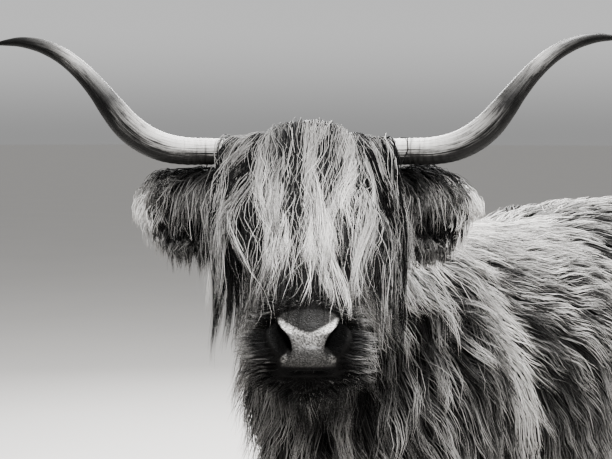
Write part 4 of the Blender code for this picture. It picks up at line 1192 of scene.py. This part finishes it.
def ear_hair_length(spots):
    """Longest from the upper rim, and shorter towards the tip."""
    out, _, up = head_places(spots)
    share = ear_share(out)
    return 0.112 - 0.062 * share + 0.085 * (1 - 0.5 * share) * ramp(up + ear_line(share), 0.0, 0.04)


cup_facing = triangle_normals @ AHEAD
ear_weight = 0.40 + 1.1 * ramp(-abs(cup_facing), -0.75, -0.35) + 0.5 * ramp(-cup_facing, 0.2, 0.6)
ear_weight = ear_weight + 1.2 * ramp(-(head_up + ear_line(ear_share(head_out))), 0.015, 0.045)
ear_hair = coat_paint("ear_coat", 0.0006, 0.020, 0.62, 0.001)
for name, part, seed in (("ear_coat_left", EAR_LEFT, 12), ("ear_coat_right", EAR_RIGHT, 13)):
    grow(name, 2600, ear_weight * (triangle_parts == part), ear_lie, ear_hair_length, ear_hair, seed, 0.0009,
         lift=0.012, bunch=7, pull=0.5, wave=0.004, stretch=0.08)


# The forelock: long coarse strands from the poll that drape over the horn roots, hide the eyes, fall past
# the sides of the face and part over the nose. Below lies a layer painted near-black as shade, then ropes,
# then loose strands.

CURTAIN_OUT = 0.152


def forelock_target(roots, parted):
    """How far out each strand comes to hang: spread by 1.55, and where it is parted, with a wide gap over the
    right eye and a narrow one over the left, outside which the hair hangs as a curtain."""
    hang = 1.55 * (roots - HEAD_AT) @ LEFT
    hang = hang + parted * (0.016 * ramp(hang, 0.106, 0.122) - 0.036 * ramp(-hang, 0.092, 0.104))
    return np.clip(hang, -CURTAIN_OUT, CURTAIN_OUT)


def on_the_head(spots, share):
    """Strands are held down over the poll and the horn roots, and on the brow over half their length."""
    out, _, up = head_places(spots)
    brow = ramp(-abs(out), -0.085, -0.060) * ramp(-share, -0.55, -0.28)
    return np.maximum(ramp(up, -0.035, -0.005), brow)


def forelock_lie(spots, outs, share, roots, parted=0.0):
    """Forward over the poll and sideways to where the strand hangs, then down the face or straight down."""
    along, _, out = face_places(spots)
    forward = head_places(spots)[1]
    target = forelock_target(roots, parted)
    sideways = np.clip((target - out) / 0.060, -0.75, 0.75)
    outer = ramp(abs(target), 0.06, 0.115)
    parting = 0.5 * np.sign(target) * ramp(along, 0.25, 0.31) * ramp(-abs(out), -0.035, -0.015)
    fall = (1 - outer)[:, None] * DOWN_FACE - outer[:, None] * UP
    ahead = (
        (sideways + parting)[:, None] * LEFT
        + fall * (1 - 0.4 * abs(sideways))[:, None]
        + AHEAD * (0.10 + 1.2 * ramp(-forward, -0.02, 0.02) + 0.35 * outer * (1 - share))[:, None]
    )
    return level(ahead + swirl(spots, 9.0, 0.12), outs)


def crossing_lie(spots, outs, share, roots):
    """As the forelock lies, but each strand drifts to one side and back, by where its own root is."""
    x, y, z = (roots * 90.0).T
    drift = 0.32 * np.sin(x + 2 * y + z) * np.sin(1.6 * math.pi * share + x)
    return forelock_lie(spots, outs, share, roots, 1.0) + drift[:, None] * LEFT


def forelock_length(spots):
    """Longest half way out, and shortest over the horn roots."""
    along, _, out = face_places(spots)
    sides = 0.020 * ramp(abs(out), 0.02, 0.06) - 0.045 * ramp(abs(out), 0.07, 0.10)
    return 0.332 + sides - 0.8 * np.clip(along, 0.0, 0.1)


def curtain_length(spots):
    """The layer below, painted near-black as shade, is as long at the sides as in the middle."""
    return 0.350 - 0.8 * np.clip(face_places(spots)[0], 0.0, 0.1)


on_poll = on_head & (along_face < 0.090) & (along_face > -0.085)
on_poll = on_poll & (off_face > -0.030) & (abs(head_out) < 0.104)
poll_weight = on_poll * (1 + 1.5 * ramp(-along_face, -0.04, 0.0))
sides_first = poll_weight * (1 + 2 * ramp(abs(head_out), 0.055, 0.08))
# The under layer is painted near-black: the shade beneath the ropes and beside the face.
under_shade_paint = coat_paint("forelock_under_shade", 0.0005, 0.0025, 0.014, 0.0004)
rope_paint = coat_paint("forelock_ropes", 0.10, 0.22, 0.70, 0.002)
stray_paint = coat_paint("forelock_strays", 0.10, 0.30, 0.70, 0.006)
grow("forelock_under_shade", 2900, sides_first, forelock_lie, curtain_length, under_shade_paint, 14, 0.0012,
     steps=10, early=1.3, lift=0.009, held=on_the_head, easing=3, bunch=13, pull=0.75, late=1.0,
     wave=0.004, stretch=0.24, frizz=0.6)
grow("forelock_ropes", 1200, poll_weight, crossing_lie, forelock_length, rope_paint, 15, 0.0008,
     steps=12, early=1.2, lift=0.018, held=on_the_head, easing=4, bunch=18, pull=0.95, late=0.35,
     wave=0.010, stretch=0.24)
grow("forelock_strays", 420, poll_weight, crossing_lie, forelock_length, stray_paint, 16, 0.0005,
     steps=12, early=1.2, lift=0.026, held=on_the_head, easing=4, bunch=2, pull=0.2, late=1.0,
     wave=0.010, stretch=0.16, frizz=0.9)


# The eyes: wet dark balls that bulge in front, with a dark iris and a pupil that lies level.
# Each sits in its socket behind the lids of the hide.

def eyeball(side):
    """A ball of radius r, its front pushed out by 1.6 mm * exp(-(reach / 0.55 r)^4) where the cornea is."""
    points, p = ball(40, 48)
    swell = 1 + 0.08 * np.exp(-((np.sin(p) / 0.55) ** 4)) * (np.cos(p) > 0)
    middle = on_face(EYE_ALONG, EYE_RISE, side * EYE_OUT)
    shape = rings_closed(middle + EYE_RADIUS * (points * swell[..., None]) @ np.stack(eye_axes(side)))
    mesh = mesh_of("eye", *shape)
    note(mesh, "gaze", np.vstack([points.reshape(-1, 3), UP, -UP]))
    return mesh


def eye_paint():
    """Dark iris with spokes round a level pupil, and a dim white beyond it."""
    paint = Paint("eye", IOR=1.38, Coat_Roughness=0.03)
    gaze = paint.kept("gaze", "Vector")
    across, up, _ = paint.parts(gaze)
    reach = (across * across + up * up) ** 0.5
    pupil = (across * across * 1.6 + up * up * 7.0) ** 0.5
    spokes = paint.noise(paint.scaled(gaze, 9.0, 9.0, 1.0), 3.0, 3.0)
    tone = paint.mix(spokes.within(0.3, 0.7), grey(0.012), grey(0.06))
    tone = paint.mix(reach.within(0.58, 0.66), tone, grey(0.30))
    tone = paint.mix(1 - pupil.within(0.50, 0.60), tone, grey(0.003))
    return paint.give(Base_Color=tone, Roughness=0.04 + 0.05 * spokes, Normal=paint.bump(spokes, 0.0001))


eye_finish = eye_paint()
for side, word in SIDES:
    piece_of(f"eyeball_{word}", eyeball(side), eye_finish, [f"eye_{word}"])


# The hooves: two claws to a foot, dark horn with fine growth rings, worn smooth at the toe.
# They grow from the coronet down, and the cow stands on the flats of their soles.

FOOT_X, FOOT_Y = 0.155, {"fore": -0.044, "hind": 1.046}
CLAW_FROM_MIDDLE, CLAW_HALF_WIDTH, CLAW_HALF_LENGTH, CORONET = 0.0205, 0.0185, 0.052, 0.0748

# Up a claw, from the sole to the coronet: height, swelling, how far its middle lies ahead.
CLAW = np.array([
    (0.0, 0.985, 0.014),
    (0.004, 1.01, 0.014),
    (0.01, 1.02, 0.013),
    (0.04, 0.95, 0.006),
    (CORONET, 0.86, 0.0),
])


def claw(x, y):
    """Superellipse sections, narrowed by 1 - 0.35 front^2 towards the toe, with shallow growth rings."""
    height, swell, ahead = (column[:, None] for column in smooth_rows(CLAW, 36).T)
    height = np.clip(height, 0.0, CORONET)
    across, along = round_section(36, 2.5)
    narrow = 1 - 0.35 * np.maximum(0, -along) ** 2
    swell = swell + 0.006 * np.sin(height * 900) * ramp(height, 0.012, 0.02)
    out = x + CLAW_HALF_WIDTH * swell * across * narrow
    forward = y - ahead + CLAW_HALF_LENGTH * swell * along
    return rings_closed(np.stack([out, forward, height + 0 * across], -1))


def hoof_paint():
    """Near-black horn, paler and scuffed low down, with level growth lines."""
    paint = Paint("hoof", IOR=1.5)
    where = paint.place()
    lines = paint.noise(paint.scaled(where, 0.2, 0.2, 4.0), 60.0, 3.0)
    scuffs = paint.noise(where, 90.0, 4.0, 0.7)
    low = 1 - paint.parts(where)[2].within(0.0, 0.03)
    tone = paint.mix(lines.within(0.35, 0.7), grey(0.003), grey(0.014))
    tone = paint.mix(scuffs.within(0.55, 0.75) * low * 0.7, tone, grey(0.05))
    normal = paint.bump(lines * 0.6 + scuffs * 0.4, 0.0008)
    return paint.give(Base_Color=tone, Roughness=0.35 + 0.3 * scuffs, Normal=normal)


hoof_finish = hoof_paint()
for end, foot_y in FOOT_Y.items():
    for side, word in SIDES:
        for which, inward in (("outer", 1), ("inner", -1)):
            shape = claw(side * (FOOT_X + inward * CLAW_FROM_MIDDLE), foot_y)
            name = f"{end}_{word}_{which}"
            piece_of(f"hoof_{name}", mesh_of("hoof", *shape), hoof_finish, [f"claw_{name}"])


# The studio: a pale floor, soft lights overhead, behind and in front, and the camera, which stands where the
# photograph's did.

FLOOR_HALF = 300
CAMERA_RISE, CAMERA_AWAY = 1.30, 2.48

# In pixels: the focal length, the photograph's width and middle row, the row level with the camera, and how
# far to one side of the head it looks.
FOCAL_PIXELS, PICTURE_WIDE, PICTURE_MIDDLE, LEVEL_ROW, ASIDE = 1418.0, 612, 229.5, 140, 2

mesh = bpy.data.meshes.new("floor")
square = [(x * FLOOR_HALF, y * FLOOR_HALF, 0) for x, y in ((-1, -1), (1, -1), (1, 1), (-1, 1))]
mesh.from_pydata(square, [], [(0, 1, 2, 3)])
paint = Paint("floor", Roughness=0.9)
tone = paint.mix(paint.noise(paint.place(), 1.2), grey(0.37), grey(0.40))
mesh.materials.append(paint.give(Base_Color=tone))
thing = stand("floor", mesh)


def look_along(thing, direction):
    """Turns a lamp or the camera to look along a direction, with its upper side up."""
    thing.rotation_mode = "QUATERNION"
    thing.rotation_quaternion = Vector(direction).to_track_quat("-Z", "Y")


def lamp(name, place, aim, size, power):
    light = bpy.data.lights.new(name, "AREA")
    light.shape = "DISK"
    light.size = size
    light.energy = power
    thing = stand(name, light)
    thing.location = place
    look_along(thing, Vector(aim) - Vector(place))


head_at = HEAD_AT + MIDDLE
lamp("overhead", (0.2, 0.5, 4.4), (0.0, 0.0, 0.9), 1.6, 1300)
lamp("rear", (-2.6, 2.6, 2.8), (0.0, 0.0, 0.9), 1.6, 350)
lamp("front", tuple(head_at + AHEAD * 2.6 + LEFT * 0.6 + UP * 2.8), tuple(head_at), 1.0, 760)

# Plain soft light from all round, dimmer level with the eye than above it.
LEVEL_LIGHT, OVERHEAD_LIGHT, FULL_AT = 0.33, 0.70, 0.08
world = bpy.data.worlds.new("studio")
world.use_nodes = True
around = Tree(world.node_tree)
light = around.parts(around.place("Generated"))[2].within(0.0, FULL_AT, LEVEL_LIGHT, OVERHEAD_LIGHT)
around.feed(around.nodes["Background"].inputs["Strength"], light)
around.feed(around.nodes["Background"].inputs["Color"], (1.0, 1.0, 1.0, 1.0))
bpy.context.scene.world = world

lens = bpy.data.cameras.new("camera")
lens.sensor_width = 36
lens.lens = lens.sensor_width * FOCAL_PIXELS / PICTURE_WIDE
camera = stand("camera", lens)
dip = math.atan((PICTURE_MIDDLE - LEVEL_ROW) / FOCAL_PIXELS)
beside_head = LEFT * (ASIDE * CAMERA_AWAY / FOCAL_PIXELS)
camera.location = np.array([head_at[0], head_at[1], CAMERA_RISE]) + AHEAD * CAMERA_AWAY - beside_head
look_along(camera, -AHEAD * math.cos(dip) - UP * math.sin(dip))
bpy.context.scene.camera = camera
